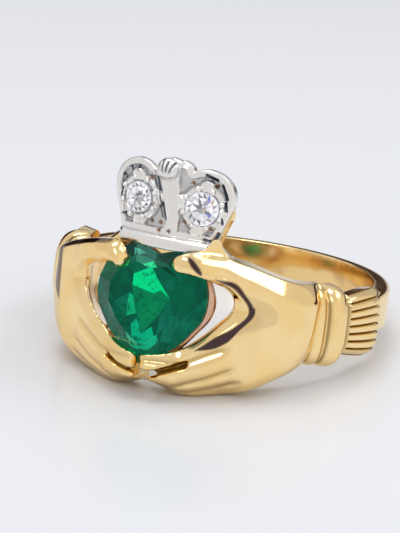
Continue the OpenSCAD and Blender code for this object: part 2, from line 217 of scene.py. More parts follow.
class Bench:
    """Small set of modelling moves on bpy.ops that every piece shares."""

    @staticmethod
    def clear() -> None:
        """Leave object mode with nothing selected."""
        if bpy.context.object and bpy.context.object.mode != "OBJECT":
            bpy.ops.object.mode_set(mode="OBJECT")
        bpy.ops.object.select_all(action="DESELECT")

    @staticmethod
    def pick(obj: bpy.types.Object) -> None:
        """Select one object alone and make it active.

        Args:
            obj: Object to select.
        """
        Bench.clear()
        obj.select_set(True)
        bpy.context.view_layer.objects.active = obj

    @staticmethod
    def choose(obj: bpy.types.Object, wanted: Callable[[Vector], bool]) -> None:
        """Select points of the mesh in edit mode.

        Args:
            obj: Object in edit mode.
            wanted: Test of a point's place.
        """
        bpy.ops.mesh.select_mode(type="VERT")
        bpy.ops.mesh.select_all(action="DESELECT")
        mesh = bmesh.from_edit_mesh(obj.data)
        for vertex in mesh.verts:
            vertex.select = wanted(vertex.co)
        mesh.select_flush(True)
        bmesh.update_edit_mesh(obj.data)

    @staticmethod
    def drop(obj: bpy.types.Object, kind: str,
             wanted: Callable[[bmesh.types.BMesh], list[object]]) -> None:
        """Delete a part of the mesh in edit mode.

        Args:
            obj: Object in edit mode.
            kind: What goes with the part, as the delete operator names it.
            wanted: Gives the part to delete.
        """
        mesh = bmesh.from_edit_mesh(obj.data)
        bmesh.ops.delete(mesh, geom=wanted(mesh), context=kind)
        bmesh.update_edit_mesh(obj.data)

    @staticmethod
    def close(merge: float | None = None) -> None:
        """Turn the faces outward and leave edit mode.

        Args:
            merge: Distance under which points are merged first.
        """
        bpy.ops.mesh.select_all(action="SELECT")
        if merge is not None:
            bpy.ops.mesh.remove_doubles(threshold=merge)
        bpy.ops.mesh.normals_make_consistent(inside=False)
        bpy.ops.object.mode_set(mode="OBJECT")

    @staticmethod
    def settled(obj: bpy.types.Object) -> None:
        """Put an object's place into its mesh."""
        obj.data.transform(obj.matrix_world)
        obj.matrix_world = Matrix.Identity(4)

    @staticmethod
    def loft(name: str, rings: Sequence[Ring]) -> bpy.types.Object:
        """Extrude a filled circle through rings of points.

        Args:
            name: Name of the new object.
            rings: Rings with equally many points, from one end to the other.

        Returns:
            A closed object with outward faces.
        """
        Bench.clear()
        count = len(rings[0])
        bpy.ops.mesh.primitive_circle_add(vertices=count, fill_type="NGON")
        obj = bpy.context.object
        obj.name = name
        for vertex, point in zip(obj.data.vertices, rings[0]):
            vertex.co = point
        bpy.ops.object.mode_set(mode="EDIT")
        bpy.ops.mesh.select_mode(type="VERT")
        bpy.ops.mesh.select_all(action="SELECT")
        for ring in rings[1:]:
            bpy.ops.mesh.extrude_region_move()
            mesh = bmesh.from_edit_mesh(obj.data)
            mesh.verts.ensure_lookup_table()
            for vertex, point in zip(mesh.verts[-count:], ring):
                vertex.co = point
            bmesh.update_edit_mesh(obj.data)
        Bench.close()
        return obj

    @staticmethod
    def join(name: str, parts: Sequence[bpy.types.Object]) -> bpy.types.Object:
        """Join objects into the first one.

        Args:
            name: Name of the joined object.
            parts: Objects to join.

        Returns:
            The joined object.
        """
        Bench.pick(parts[0])
        for part in parts[1:]:
            part.select_set(True)
        bpy.ops.object.join()
        obj = bpy.context.object
        obj.name = name
        return obj

    @staticmethod
    def modify(obj: bpy.types.Object, kind: str, **settings: object) -> None:
        """Add a modifier with its settings and apply it.

        Args:
            obj: Object to change.
            kind: Type of the modifier.
            settings: Its settings by name.
        """
        Bench.pick(obj)
        mod = obj.modifiers.new(kind.title(), kind)
        for key, value in settings.items():
            setattr(mod, key, value)
        bpy.ops.object.modifier_apply(modifier=mod.name)

    @staticmethod
    def fuse(obj: bpy.types.Object, voxel: float, rounds: int) -> None:
        """Fuse overlapping shells into one skin and ease it.

        Args:
            obj: Object with the shells.
            voxel: Size of the skin's cells.
            rounds: Rounds of easing.
        """
        Bench.modify(obj, "REMESH", mode="VOXEL", voxel_size=voxel, adaptivity=0.0)
        Bench.modify(obj, "SMOOTH", factor=0.5, iterations=rounds)

    @staticmethod
    def mirrored(obj: bpy.types.Object) -> None:
        """Mirror a mesh across the ring's middle and keep its faces outward."""
        obj.data.transform(Matrix.Scale(-1, 4, (1, 0, 0)))
        obj.data.flip_normals()

    @staticmethod
    def points(obj: bpy.types.Object) -> np.ndarray:
        """Read the points of a mesh.

        Args:
            obj: Object to read.

        Returns:
            One row for each point.
        """
        out = np.empty(len(obj.data.vertices) * 3)
        obj.data.vertices.foreach_get("co", out)
        return out.reshape(-1, 3)

    @staticmethod
    def move(obj: bpy.types.Object, points: np.ndarray) -> None:
        """Write moved points back into a mesh."""
        obj.data.vertices.foreach_set("co", points.reshape(-1))
        obj.data.update()

    @staticmethod
    def paint(obj: bpy.types.Object, label: str, values: np.ndarray) -> None:
        """Write a value for each point, which a finish reads by its label."""
        layer = obj.data.attributes.new(label, "FLOAT", "POINT")
        layer.data.foreach_set("value", values.astype(np.float32))

    @staticmethod
    def shade(obj: bpy.types.Object, angle: float | None) -> None:
        """Shade a mesh.

        Args:
            obj: Object to shade.
            angle: Angle in degrees up to which it is smooth, or None for flat.
        """
        Bench.pick(obj)
        if angle is None:
            bpy.ops.object.shade_flat()
        else:
            bpy.ops.object.shade_smooth_by_angle(angle=math.radians(angle))


# Shader maths


class Socket:
    """Node socket that adds Math nodes when it is used in an expression."""

    def __init__(self, graph: "Graph", link: bpy.types.NodeSocket | None) -> None:
        """Keep the graph and the socket."""
        self.graph = graph
        self.link = link

    def _math(self, operation: str, *values: "Socket | float") -> "Socket":
        """Add one Math node."""
        return self.graph.node("ShaderNodeMath", {"operation": operation},
                               dict(enumerate(values)))

    def __add__(self, other: "Socket | float") -> "Socket":
        """Sum."""
        return self._math("ADD", self, other)

    def __radd__(self, other: float) -> "Socket":
        """Sum."""
        return self._math("ADD", other, self)

    def __sub__(self, other: "Socket | float") -> "Socket":
        """Difference."""
        return self._math("SUBTRACT", self, other)

    def __rsub__(self, other: float) -> "Socket":
        """Difference."""
        return self._math("SUBTRACT", other, self)

    def __mul__(self, other: "Socket | float") -> "Socket":
        """Product."""
        return self._math("MULTIPLY", self, other)

    def __rmul__(self, other: float) -> "Socket":
        """Product."""
        return self._math("MULTIPLY", other, self)

    def step(self, low: float, high: float) -> "Socket":
        """Eased share of the way from low to high."""
        return self.graph.node("ShaderNodeMapRange",
                               {"interpolation_type": "SMOOTHSTEP"},
                               {"Value": self, "From Min": low, "From Max": high})


class Graph:
    """Node tree of one material or of the world."""

    def __init__(self, tree: bpy.types.NodeTree) -> None:
        """Start from an empty tree."""
        self.tree = tree
        tree.nodes.clear()

    def node(self, kind: str, settings: dict[str, object] | None = None,
             inputs: dict[str | int, object] | None = None,
             output: str | int = 0) -> Socket:
        """Add a node.

        Args:
            kind: Node type.
            settings: Attributes that are set first.
            inputs: Values or Sockets by input name or number.
            output: Output to hand back.

        Returns:
            The chosen output, which holds no link where the node has none.
        """
        node = self.tree.nodes.new(kind)
        for key, value in (settings or {}).items():
            setattr(node, key, value)
        for key, value in (inputs or {}).items():
            if isinstance(value, Socket):
                self.tree.links.new(value.link, node.inputs[key])
            else:
                node.inputs[key].default_value = value
        return Socket(self, node.outputs[output] if node.outputs else None)

    def place(self, shift: Sequence[float] = (0.0, 0.0, 0.0)) -> Socket:
        """Object coordinates, moved."""
        where = self.node("ShaderNodeTexCoord", output="Object")
        return self.node("ShaderNodeMapping", {"vector_type": "POINT"},
                         {"Vector": where, "Location": shift})

    def part(self, vector: Socket, axis: str) -> Socket:
        """One part of a vector."""
        return self.node("ShaderNodeSeparateXYZ", inputs={0: vector}, output=axis)

    def mark(self, label: str, output: str = "Fac") -> Socket:
        """Attribute that is painted on the piece."""
        return self.node("ShaderNodeAttribute", {"attribute_name": label}, output=output)

    def noise(self, vector: Socket, scale: float, detail: float = 3.0,
              rough: float = 0.5) -> Socket:
        """Cloudy noise between 0 and 1."""
        return self.node("ShaderNodeTexNoise", inputs={
            "Vector": vector, "Scale": scale, "Detail": detail, "Roughness": rough})

    def mix(self, share: Socket | float, a: Socket | Colour, b: Socket | Colour) -> Socket:
        """Mix two colours.

        Args:
            share: Share of the second colour.
            a: First colour.
            b: Second colour.

        Returns:
            The mixed colour.
        """
        first, second = (c if isinstance(c, Socket) else (*c, 1.0) for c in (a, b))
        return self.node("ShaderNodeMix", {"data_type": "RGBA"},
                         {0: share, 6: first, 7: second}, 2)

    def bump(self, height: Socket, strength: float, far: float) -> Socket:
        """Normal from a height."""
        return self.node("ShaderNodeBump", inputs={
            "Height": height, "Strength": strength, "Distance": far})

    def surface(self, inputs: dict[str, object]) -> None:
        """End the material in a Principled surface with these inputs."""
        shader = self.node("ShaderNodeBsdfPrincipled", inputs=inputs)
        self.node("ShaderNodeOutputMaterial", inputs={"Surface": shader})


# Finishes


@dataclass(frozen=True)
class Surface:
    """Finish of a piece, which each kind wires in its own way."""

    name: str

    def wire(self, g: Graph) -> None:
        """Add the material's nodes.

        Args:
            g: Its empty graph.
        """
        raise NotImplementedError

    def make(self) -> bpy.types.Material:
        """Build the material.

        Returns:
            The material.
        """
        mat = bpy.data.materials.new(self.name)
        mat.use_nodes = True
        self.wire(Graph(mat.node_tree))
        return mat


@dataclass(frozen=True)
class YellowGold(Surface):
    """Polished yellow gold with fine wear, an olive tone painted as shade in its grooves and
    creases, and a dark brown painted as dark reflections and shade.
    """

    name: str = "yellow_gold"
    light: Colour = (0.98, 0.74, 0.38)
    deep: Colour = (0.95, 0.69, 0.31)
    olive: Colour = (0.30, 0.20, 0.06)
    shadow: Colour = (0.075, 0.045, 0.045)
    rough: float = 0.06
    cloud_scale: float = 420.0
    fine_scale: float = 5200.0
    toned: Span = (0.35, 0.7)
    worn: Span = (0.4, 0.75)
    worn_rough: float = 0.05
    fine_rough: float = 0.035
    recess_rough: float = 0.25
    grain: tuple[float, float] = (0.05, 0.00002)

    def wire(self, g: Graph) -> None:
        """Add the material's nodes.

        Args:
            g: Its empty graph.
        """
        where = g.place()
        cloud = g.noise(where, self.cloud_scale, 2.0)
        fine = g.noise(where, self.fine_scale, 2.0)
        recess = g.mark("recess")
        plain = g.mix(cloud.step(*self.toned), self.light, self.deep)
        g.surface({
            # Painted light: the olive is shade painted in grooves and creases, and the shadow colour
            # is painted dark reflection and shade.
            "Base Color": g.mix(g.mark("dirt_and_painted_shade"), g.mix(recess, plain, self.olive), self.shadow),
            "Metallic": 1.0,
            "Roughness": (cloud.step(*self.worn) * self.worn_rough + fine * self.fine_rough
                          + recess * self.recess_rough + self.rough),
            "Normal": g.bump(fine, *self.grain)})


@dataclass(frozen=True)
class BandGold(YellowGold):
    """Gold of the band, with a warm amber and brown reflection painted on the wall round the finger.
    """

    name: str = "band_gold"
    cloud_scale: float = 300.0
    grain: tuple[float, float] = (0.08, 0.00003)
    amber: Colour = (1.0, 0.75, 0.36)
    brown: Colour = (0.68, 0.45, 0.23)
    wall: Span = (0.00863, 0.00872)
    spot_scale: float = 900.0
    soft: float = 0.6
    warm_reflection_span: Span = (0.52, 0.68)
    warm_reflection_least: float = 0.55
    warm_reflection_more: float = 0.4
    wall_rough: float = 0.09
    spotted: Span = (0.4, 0.8)

    def wire(self, g: Graph) -> None:
        """Add the material's nodes.

        Args:
            g: Its empty graph.
        """
        level = g.place(tuple(-POSE.middle()))
        local = g.node("ShaderNodeVectorRotate", {"rotation_type": "X_AXIS"},
                       {"Vector": level, "Angle": math.radians(POSE.lean)})
        x, y = g.part(local, "X"), g.part(local, "Y")
        radius = g.node("ShaderNodeMath", {"operation": "SQRT"}, {0: x * x + y * y})
        inner = 1.0 - radius.step(*self.wall)
        cloud = g.noise(level, self.cloud_scale, 3.0, self.soft)
        spots = g.noise(level, self.spot_scale, 3.0, self.soft)
        plain = g.mix(cloud.step(*self.toned), self.light, self.deep)
        # Painted reflection: amber and brown on the inner wall stand in for the gold reflecting
        # itself.
        painted_warm_reflection = g.mix(cloud.step(*self.warm_reflection_span), self.amber, self.brown)
        g.surface({
            "Base Color": g.mix(inner * (self.warm_reflection_least + self.warm_reflection_more * spots),
                                plain, painted_warm_reflection),
            "Metallic": 1.0,
            "Roughness": (self.rough + inner * self.wall_rough
                          + spots.step(*self.spotted) * self.worn_rough),
            "Normal": g.bump(spots, *self.grain)})


@dataclass(frozen=True)
class WhiteGold(Surface):
    """Polished white gold with dark and brownish recesses between the cuts."""

    name: str = "white_gold"
    metal: Colour = (0.88, 0.87, 0.86)
    dark: Colour = (0.10, 0.11, 0.14)
    brown: Colour = (0.26, 0.15, 0.09)
    rough: float = 0.20
    recess_rough: float = 0.25
    fine_rough: float = 0.06
    fine_scale: float = 6000.0
    darkened: Span = (0.10, 0.95)
    dulled: Span = (0.5, 1.0)
    dull: float = 0.5
    grain: tuple[float, float] = (0.12, 0.00002)

    def wire(self, g: Graph) -> None:
        """Add the material's nodes.

        Args:
            g: Its empty graph.
        """
        recess = g.mark("recess")
        fine = g.noise(g.place(), self.fine_scale, 2.0)
        grey = g.mix(recess.step(*self.darkened), self.metal, self.dark)
        g.surface({
            "Base Color": g.mix(g.mark("dirt_and_painted_shade"), grey, self.brown),
            "Metallic": 1.0 - recess.step(*self.dulled) * self.dull,
            "Roughness": self.rough + recess * self.recess_rough + fine * self.fine_rough,
            "Normal": g.bump(fine, *self.grain)})


@dataclass(frozen=True)
class ClearCut(Surface):
    """Clear front of a cut stone."""

    tint: Colour
    index: float
    rough: float = 0.02
    wear_scale: float = 2600.0
    worn: Span = (0.6, 0.8)
    worn_rough: float = 0.03

    def wire(self, g: Graph) -> None:
        """Add the material's nodes.

        Args:
            g: Its empty graph.
        """
        wear = g.noise(g.place(), self.wear_scale, 2.0)
        g.surface({
            "Base Color": (*self.tint, 1.0),
            "Roughness": self.rough + self.worn_rough * wear.step(*self.worn),
            "IOR": self.index, "Specular Tint": (*self.tint, 1.0), "Transmission Weight": 1.0})


@dataclass(frozen=True)
class Depths(Surface):
    """Inner facets of a cut stone, each glowing with its own painted light, and inclusions."""

    speck: Colour
    grain_scale: float
    glow: float
    cloud: float = 1.0
    grained: Span = (0.52, 0.64)
    grain_share: float = 0.50
    veined: Span = (0.46, 0.72)
    vein_share: float = 0.38
    vein_size: float = 0.28
    rough: float = 0.45
    shine: float = 0.1

    def wire(self, g: Graph) -> None:
        """Add the material's nodes.

        Args:
            g: Its empty graph.
        """
        where = g.place()
        grains = g.noise(where, self.grain_scale, 3.0, 0.65)
        veins = g.noise(where, self.grain_scale * self.vein_size, 4.0, 0.6)
        share = (grains.step(*self.grained) * self.grain_share
                 + veins.step(*self.veined) * self.vein_share) * self.cloud
        colour = g.mix(share, g.mark("tone", "Color"), self.speck)
        # The facets' painted tone glows, standing in for light inside the stone.
        g.surface({
            "Base Color": colour, "Roughness": self.rough, "Specular IOR Level": self.shine,
            "Emission Color": colour, "Emission Strength": self.glow})


@dataclass(frozen=True)
class PaleFloor(Surface):
    """Pale glossy sheet under the ring."""

    name: str = "pale_floor"
    light: Colour = (0.76, 0.78, 0.82)
    deep: Colour = (0.73, 0.75, 0.79)
    cloud_scale: float = 12.0
    rough: float = 0.22
    shine: float = 0.4

    def wire(self, g: Graph) -> None:
        """Add the material's nodes.

        Args:
            g: Its empty graph.
        """
        cloud = g.noise(g.place(), self.cloud_scale, 2.0)
        g.surface({
            "Base Color": g.mix(cloud, self.light, self.deep),
            "Roughness": self.rough, "Specular IOR Level": self.shine})


@dataclass(frozen=True)
class DarkCard(Surface):
    """Dull dark brown card, which only reflections show."""

    name: str = "dark_card"
    colour: Colour = (0.055, 0.030, 0.025)
    rough: float = 0.9

    def wire(self, g: Graph) -> None:
        """Add the material's nodes.

        Args:
            g: Its empty graph.
        """
        g.surface({"Base Color": (*self.colour, 1.0), "Roughness": self.rough})


class Finish(Enum):
    """Finishes of the ring's pieces and of the stage."""

    GOLD = YellowGold()
    BAND = BandGold()
    ROSE = YellowGold("rose_gold", (0.78, 0.50, 0.36), (0.52, 0.32, 0.22), rough=0.28)
    WHITE = WhiteGold()
    EMERALD = ClearCut("emerald", (0.16, 0.86, 0.68), 1.38)
    EMERALD_DEPTHS = Depths("emerald_depths", (0.0, 0.045, 0.03), 2600.0, 0.55)
    DIAMOND = ClearCut("diamond", (0.97, 0.98, 1.0), 1.65)
    DIAMOND_DEPTHS = Depths("diamond_depths", (0.55, 0.56, 0.60), 3000.0, 0.30, 0.12)
    FLOOR = PaleFloor()
    CARD = DarkCard()


class Wardrobe:
    """Keeps each finish's material once it is made."""

    made: dict[Finish, bpy.types.Material] = {}

    @classmethod
    def get(cls, finish: Finish) -> bpy.types.Material:
        """Material of a finish.

        Args:
            finish: Finish to look up.

        Returns:
            Its one material.
        """
        if finish not in cls.made:
            cls.made[finish] = finish.value.make()
        return cls.made[finish]


def settle(obj: bpy.types.Object, node: str, slot: str, *finishes: Finish) -> None:
    """Dress a piece, lay it down and hang it on the frame.

    Args:
        obj: Piece in the ring's frame, in millimetres.
        node: CAD node that it stands for.
        slot: Material slot of the record; it is not used.
        finishes: Finishes for the piece's material slots.
    """
    slots = obj.data.materials
    for i, finish in enumerate(finishes):
        if i < len(slots):
            slots[i] = Wardrobe.get(finish)
        else:
            slots.append(Wardrobe.get(finish))
    obj.data.transform(POSE.matrix())
    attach(obj, "root")
    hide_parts(node)
    LOG.info("%s: %d faces", obj.name, len(obj.data.polygons))


# Gold pieces


@dataclass
class Places:
    """Flat points of a hand, with what the carving steps ask about them.

    Attributes:
        s: Places along the round.
        z: Heights.
        angle: Angles from the face.
        along: Shares of the thumb's length.
        thumb: How much a point belongs to the thumb.
        ease: Share of the way to the wrist, for the low edge.
        low: Distances from the low edge.
        head: Distances from the high edge.
        edge: Distances from the gap.
        rim: Widths of the gap's rim.
    """

    s: np.ndarray
    z: np.ndarray
    angle: np.ndarray
    along: np.ndarray
    thumb: np.ndarray
    ease: np.ndarray
    low: np.ndarray
    head: np.ndarray
    edge: np.ndarray
    rim: np.ndarray


@dataclass
class Hand:
    """One hand: a flat outline, carved in its own plane and bent round.

    Corners of the outline are angles from the face and heights.

    Attributes:
        low: Reach of the hand below the ring's middle.
        thick: Height of its highest point over the finger's hole.
        more: Degrees by which the thumb starts nearer to the face.
        per_degree: Length of one degree of the round, in the flat.
        horn: How far the horn on the top edge lies back.
        lip: Depth taken off past the gap's rim, up to lip_top.
        draft: How far the back leans away from the gap.
        shell: Wall left beside the gap.
    """

    low: float = 4.8
    thick: float = 3.2
    more: float = 2.6
    per_degree: float = 0.1885
    depth: float = 2.0
    voxel: float = 0.066
    low_side: list[Flat] = field(default_factory=lambda: [
        (57.5, -2.15), (51.6, -2.50), (46.3, -2.95), (40.0, -3.40), (35.0, -3.85),
        (30.0, -4.25), (24.2, -4.60), (18.0, -4.78), (12.0, -4.77), (6.0, -4.62),
        (3.0, -4.44), (1.6, -4.28), (1.1, -4.14), (1.3, -4.00), (2.6, -3.86),
        (4.4, -3.68), (4.8, -3.52), (4.2, -3.42), (1.5, -3.42), (0.6, -3.30),
        (0.4, -2.95)])
    gap: list[Flat] = field(default_factory=lambda: [
        (0.6, -2.62), (1.4, -2.46), (3.5, -2.42), (8.0, -2.22), (11.3, -1.96),
        (15.0, -1.40), (18.6, -0.76), (21.2, -0.32), (23.3, 0.04), (24.5, 0.40),
        (25.0, 0.80), (24.7, 1.20), (23.9, 1.52), (22.2, 1.80), (18.8, 2.10),
        (14.5, 2.38), (10.5, 2.50)])
    top_side: list[Flat] = field(default_factory=lambda: [
        (8.0, 2.58), (6.9, 2.70), (6.4, 2.92), (6.7, 3.16), (8.0, 3.42), (10.5, 3.60),
        (13.5, 3.70), (15.4, 3.95), (16.6, 4.45), (18.4, 4.45), (19.4, 3.95), (21.0, 3.58),
        (23.0, 3.38), (26.0, 3.22), (30.0, 3.03), (35.0, 2.75), (40.0, 2.49),
        (45.3, 2.27), (52.0, 2.14), (57.5, 2.10)])
    thumb_low: Span = (0.7, 1.9)
    thumb_end: Span = (25.0, 39.0)
    index_edge: Span = (-0.12, 0.10)
    index_end: Span = (9.0, 17.0)
    index_top: float = 0.8
    horn: float = 1.15
    horn_foot: float = 3.8
    horn_up: Span = (3.10, 4.40)
    horn_start: Span = (9.0, 15.5)
    horn_end: Span = (20.0, 25.0)
    head_wide: Span = (0.36, 0.70)
    head_deep: Span = (0.16, 0.66)
    head_power: float = 1.4
    slot_at: Flat = (4.6, -3.47)
    slot_slope: float = 0.084
    slot_half: Span = (0.12, 0.22)
    slot_end: float = 13.9
    slot_deep: float = 0.62
    furrow: float = 0.13
    furrow_half: float = 0.15
    furrow_wide: float = 0.42
    furrow_painted_shade: float = 0.46
    tip_round: float = 0.0
    lip: float = 0.16
    lip_top: float = 9.0
    draft: float = 0.0
    # Shares of the painted dark reflections, and how far back the painted reflection and shade
    # reach.
    crest_painted_reflection: float = 0.0
    painted_shade_deep: float = 0.5
    recess_deep: float = 0.5
    round_wrist: float = 0.0
    dirt_and_painted_shade: float = 1.0
    leaf_at: Flat = (2.48, 2.98)
    leaf_half: Flat = (0.21, 0.52)
    leaf_lean: float = 0.72
    lobe_painted_reflection: float = 0.16
    lobe_end: Span = (37.6, 38.2)
    stripe_start: Span = (35.6, 36.6)
    stripe_foot: Span = (-1.15, -0.85)
    shell: float = 1.05
    shell_slope: float = 0.8
    least: float = 0.25
    low_ease: Span = (24.0, 34.0)
    palm: Span = (11.0, 22.0)
    furrows: list[tuple[Triple, Triple, float]] = field(
        default_factory=lambda: [((12.7, 18.5, 25.8), (-2.75, -2.15, -1.50), 26.5),
                                 ((9.0, 18.8, 27.7), (-4.29, -3.55, -2.80), 29.0),
                                 ((13.5, 21.2, 30.2), (-4.52, -4.11, -3.52), 31.5)])

    def rounded(self, corners: Sequence[Flat]) -> np.ndarray:
        """Cut the corners of a flat line three times.

        Args:
            corners: Corners as angles and heights.

        Returns:
            Points of the line in the flat.
        """
        line = np.array(corners) * (self.per_degree, 1.0)
        for _ in range(3):
            a, b = line[:-1], line[1:]
            cut = np.stack((0.75 * a + 0.25 * b, 0.25 * a + 0.75 * b), 1).reshape(-1, 2)
            line = np.concatenate((line[:1], cut, line[-1:]))
        return line

    def survey(self, s: np.ndarray, z: np.ndarray) -> Places:
        """Work out what the carving steps share.

        Args:
            s: Places along the round.
            z: Heights.

        Returns:
            The surveyed points.
        """
        angle = s / self.per_degree
        top = [(a, h) for a, h in self.top_side if h < self.horn_foot]
        rim = 0.28 + 0.14 * falling(z, (1.0, 1.8)) + 0.15 * (z < 0) * falling(angle, (6, 16))
        rim += 0.33 * bell(z, 0.6, 0.7) * rising(angle, (18, 24))
        return Places(
            s, z, angle, rim=rim,
            along=np.clip((angle - 9 + self.more) / (29 + self.more), 0, 1),
            thumb=rising(z, self.thumb_low) * falling(angle, self.thumb_end),
            ease=rising(angle, self.low_ease),
            low=distance(self.rounded(self.low_side), s, z),
            head=distance(self.rounded(top), s, z),
            edge=distance(self.rounded(self.gap), s, z))

    def skin(self, p: Places) -> np.ndarray:
        """Shape the front before it is cut.

        Args:
            p: Surveyed points.

        Returns:
            Distances of the front from the finger's axis.
        """
        first = -self.low * spread(HAND, SPLIT, p.angle)
        index = rising(p.z - first, self.index_edge) * falling(p.angle, self.index_end)
        index *= p.z < self.index_top
        top = spread(HAND, RISE, p.angle)
        top += index * np.maximum(spread(INDEX, RISE, p.angle) - top, 0)
        top += p.thumb * (spread(THUMB, RISE, p.along) - top)
        foot = -self.low * spread(HAND, LOW, p.angle)
        head = -self.low * spread(HAND, HIGH, p.angle)
        t = np.clip((p.z - foot) / (head - foot), 0, 1)
        fall = (0.9 - 0.45 * p.ease) * (1 - t) ** 3 * (1 - p.thumb)
        horn = rising(p.z, self.horn_up) * rising(p.angle, self.horn_start)
        horn *= falling(p.angle, self.horn_end)
        return HOLE + self.thick * top - fall - self.horn * horn

    def grooves(self, p: Places) -> tuple[np.ndarray, np.ndarray]:
        """Furrows between the fingers and the slot beside the index finger.

        Args:
            p: Surveyed points.

        Returns:
            How deep they are cut and how dark they are painted, as shade in the furrows and the
            slot.
        """
        cut, dark = np.zeros(len(p.s)), np.zeros(len(p.s))
        for angles, heights, stop in self.furrows:
            slope = (heights[2] - heights[0]) / ((angles[2] - angles[0]) * self.per_degree)
            away = (p.z - np.interp(p.angle, angles, heights)) / math.hypot(1, slope)
            ends = falling(p.angle, (stop - 4.5, stop)) * rising(p.angle, (-1, 5))
            cut += self.furrow * ends * (bell(away, 0, self.furrow_half)
                                         + bell(away, 0, self.furrow_wide))
            # Painted shade along each furrow; further down, the slot is painted as full shade.
            dark += self.furrow_painted_shade * ends * bell(away, 0.06, 0.13)
        away = np.abs(p.z - self.slot_at[1] - (p.angle - self.slot_at[0]) * self.slot_slope)
        slot = falling(away, self.slot_half)
        slot *= falling(p.angle, (self.slot_end - 0.9, self.slot_end))
        return cut + self.slot_deep * slot, np.clip(np.maximum(dark * (1 - slot), slot), 0, 1)

    def bevels(self, p: Places) -> np.ndarray:
        """Rounding of the edges and the shallow fall past the gap's rim.

        Args:
            p: Surveyed points.

        Returns:
            How much is taken off the front.
        """
        palm = rising(p.angle, self.palm)
        wrist = self.round_wrist * rising(p.angle, (38, 49))
        wide = 0.50 + 0.60 * palm - 0.30 * p.ease
        deep = 0.40 + 0.46 * palm - 0.40 * p.ease
        cut = deep * np.clip(1 - p.low / wide, 0, 1) ** 2.1
        wide = self.head_wide[0] + self.head_wide[1] * palm * (1 - 0.5 * wrist)
        deep = self.head_deep[0] + self.head_deep[1] * palm * (1 - 0.8 * wrist)
        cut += deep * np.clip(1 - p.head / wide, 0, 1) ** self.head_power
        cut += 0.12 * wrist * (np.hypot(p.z + 0.7, 0.3) + p.z + 0.7)
        tip = self.tip_round * falling(p.angle, (13, 19)) * (p.z > 1.9)
        cut += tip * np.clip(1 - np.minimum(p.head, p.edge) / 0.8, 0, 1) ** 2
        steep = 0.42 - 0.24 * np.maximum(rising(p.z, (1.2, 2.0)) * falling(p.angle, (15, 22)),
                                         (p.z < 0) * falling(p.angle, (4, 14)))
        cut += steep * np.clip(1 - p.edge / p.rim, 0, 1)
        lip = self.lip * rising(p.angle, (14, 20)) * falling(p.angle, (36, 46))
        lip *= falling(p.z, (self.lip_top - 0.4, self.lip_top + 0.3))
        past = p.edge - p.rim
        return cut + lip * rising(past, (0.0, 0.35)) * np.exp(-np.maximum(past - 0.3, 0) / 1.1)

    def painted_reflections(self, p: Places) -> np.ndarray:
        """Painted dark reflections: round the gap, on the palm, crest and outer edge, and a leaf on
        the thumb.

        Args:
            p: Surveyed points.

        Returns:
            How dark the painted reflections make the gold.
        """
        reach = np.where(p.z < 0.9,
                         0.58 * rising(p.angle, (14, 22)) - 0.18 * rising(p.angle, (24, 28)),
                         0.32 * rising(p.angle, (16, 26)))
        away = p.edge - p.rim + 0.04 - 0.10 * rising(p.angle, (20, 25))
        band = rising(away, (-0.03, 0.05)) * falling(away - reach, (-0.05, 0.03))
        up = p.z - self.leaf_at[1]
        leaf = np.hypot((p.s - self.leaf_at[0] + self.leaf_lean * up) / self.leaf_half[0],
                        up / self.leaf_half[1])
        band = band * (reach > 0.05) + falling(leaf, (0.8, 1.05)) * (p.z > 2)
        lobe = falling(p.z - 1.75 + 0.057 * (p.angle - 26), (-0.04, 0.04))
        lobe *= rising(p.z + 0.87 - 0.077 * (p.angle - 25.5), (-0.04, 0.04))
        lobe *= falling(p.angle + 5 * np.maximum(p.z - 0.5, 0) ** 2, self.lobe_end)
        lobe *= (away > 0) * rising(p.angle, (20, 22))
        near = p.head - 0.20 - 0.14 * rising(p.angle, (18, 40))
        crest = falling(near, (0.0, 0.07)) * rising(p.angle, (13.0, 15.5)) * (p.z > 0.2)
        low_end = np.clip((p.z + 1.0) / 1.2, 0, 1)
        past = (p.angle - 36.4 - 5.6 * low_end) / (0.6 + 1.6 * low_end)
        stripe = rising(p.angle, self.stripe_start) * falling(past, (0.0, 1.0))
        stripe *= rising(p.z, self.stripe_foot)
        return np.maximum(self.dirt_and_painted_shade * np.maximum(np.clip(band, 0, 1), self.lobe_painted_reflection * lobe),
                          self.crest_painted_reflection * np.maximum(crest, stripe))

    def rear(self, p: Places, front: np.ndarray) -> tuple[np.ndarray, np.ndarray]:
        """Shape the back, hollow behind the thumb and thin beside the gap.

        Args:
            p: Surveyed points.
            front: Distances of the front from the finger's axis.

        Returns:
            Distances of the back and how far it leans away from the gap.
        """
        back = self.thick * (0.28 * falling(p.angle, (11.5, 13.5)) - 0.02)
        back += p.thumb * (self.thick * spread(THUMB, BACK, p.along) - back)
        shell = (front - HOLE - self.shell - self.shell_slope * p.edge) * (p.z < 2.4)
        back += (np.maximum(shell, back) - back) * rising(p.angle, (9, 14))
        draft = self.draft * falling(p.edge, (0.2, 1.2)) * rising(p.angle, (9, 15))
        return (np.minimum(HOLE + np.maximum(back, 0), front - self.least),
                draft * falling(p.z, (1.1, 1.7)))

    def build(self, name: str) -> bpy.types.Object:
        """Extrude the outline, carve it and bend it round the finger.

        Args:
            name: Name of the hand.

        Returns:
            The hand.
        """
        line = self.rounded(self.low_side + self.gap + self.top_side)
        obj = Bench.loft(name, [[Vector((s, y, z)) for s, z in line] for y in (0.0, self.depth)])
        Bench.fuse(obj, self.voxel, 4)
        points = Bench.points(obj)
        p = self.survey(points[:, 0], points[:, 2])
        cut, dark = self.grooves(p)
        front = self.skin(p) - cut - self.bevels(p)
        back, draft = self.rear(p, front)
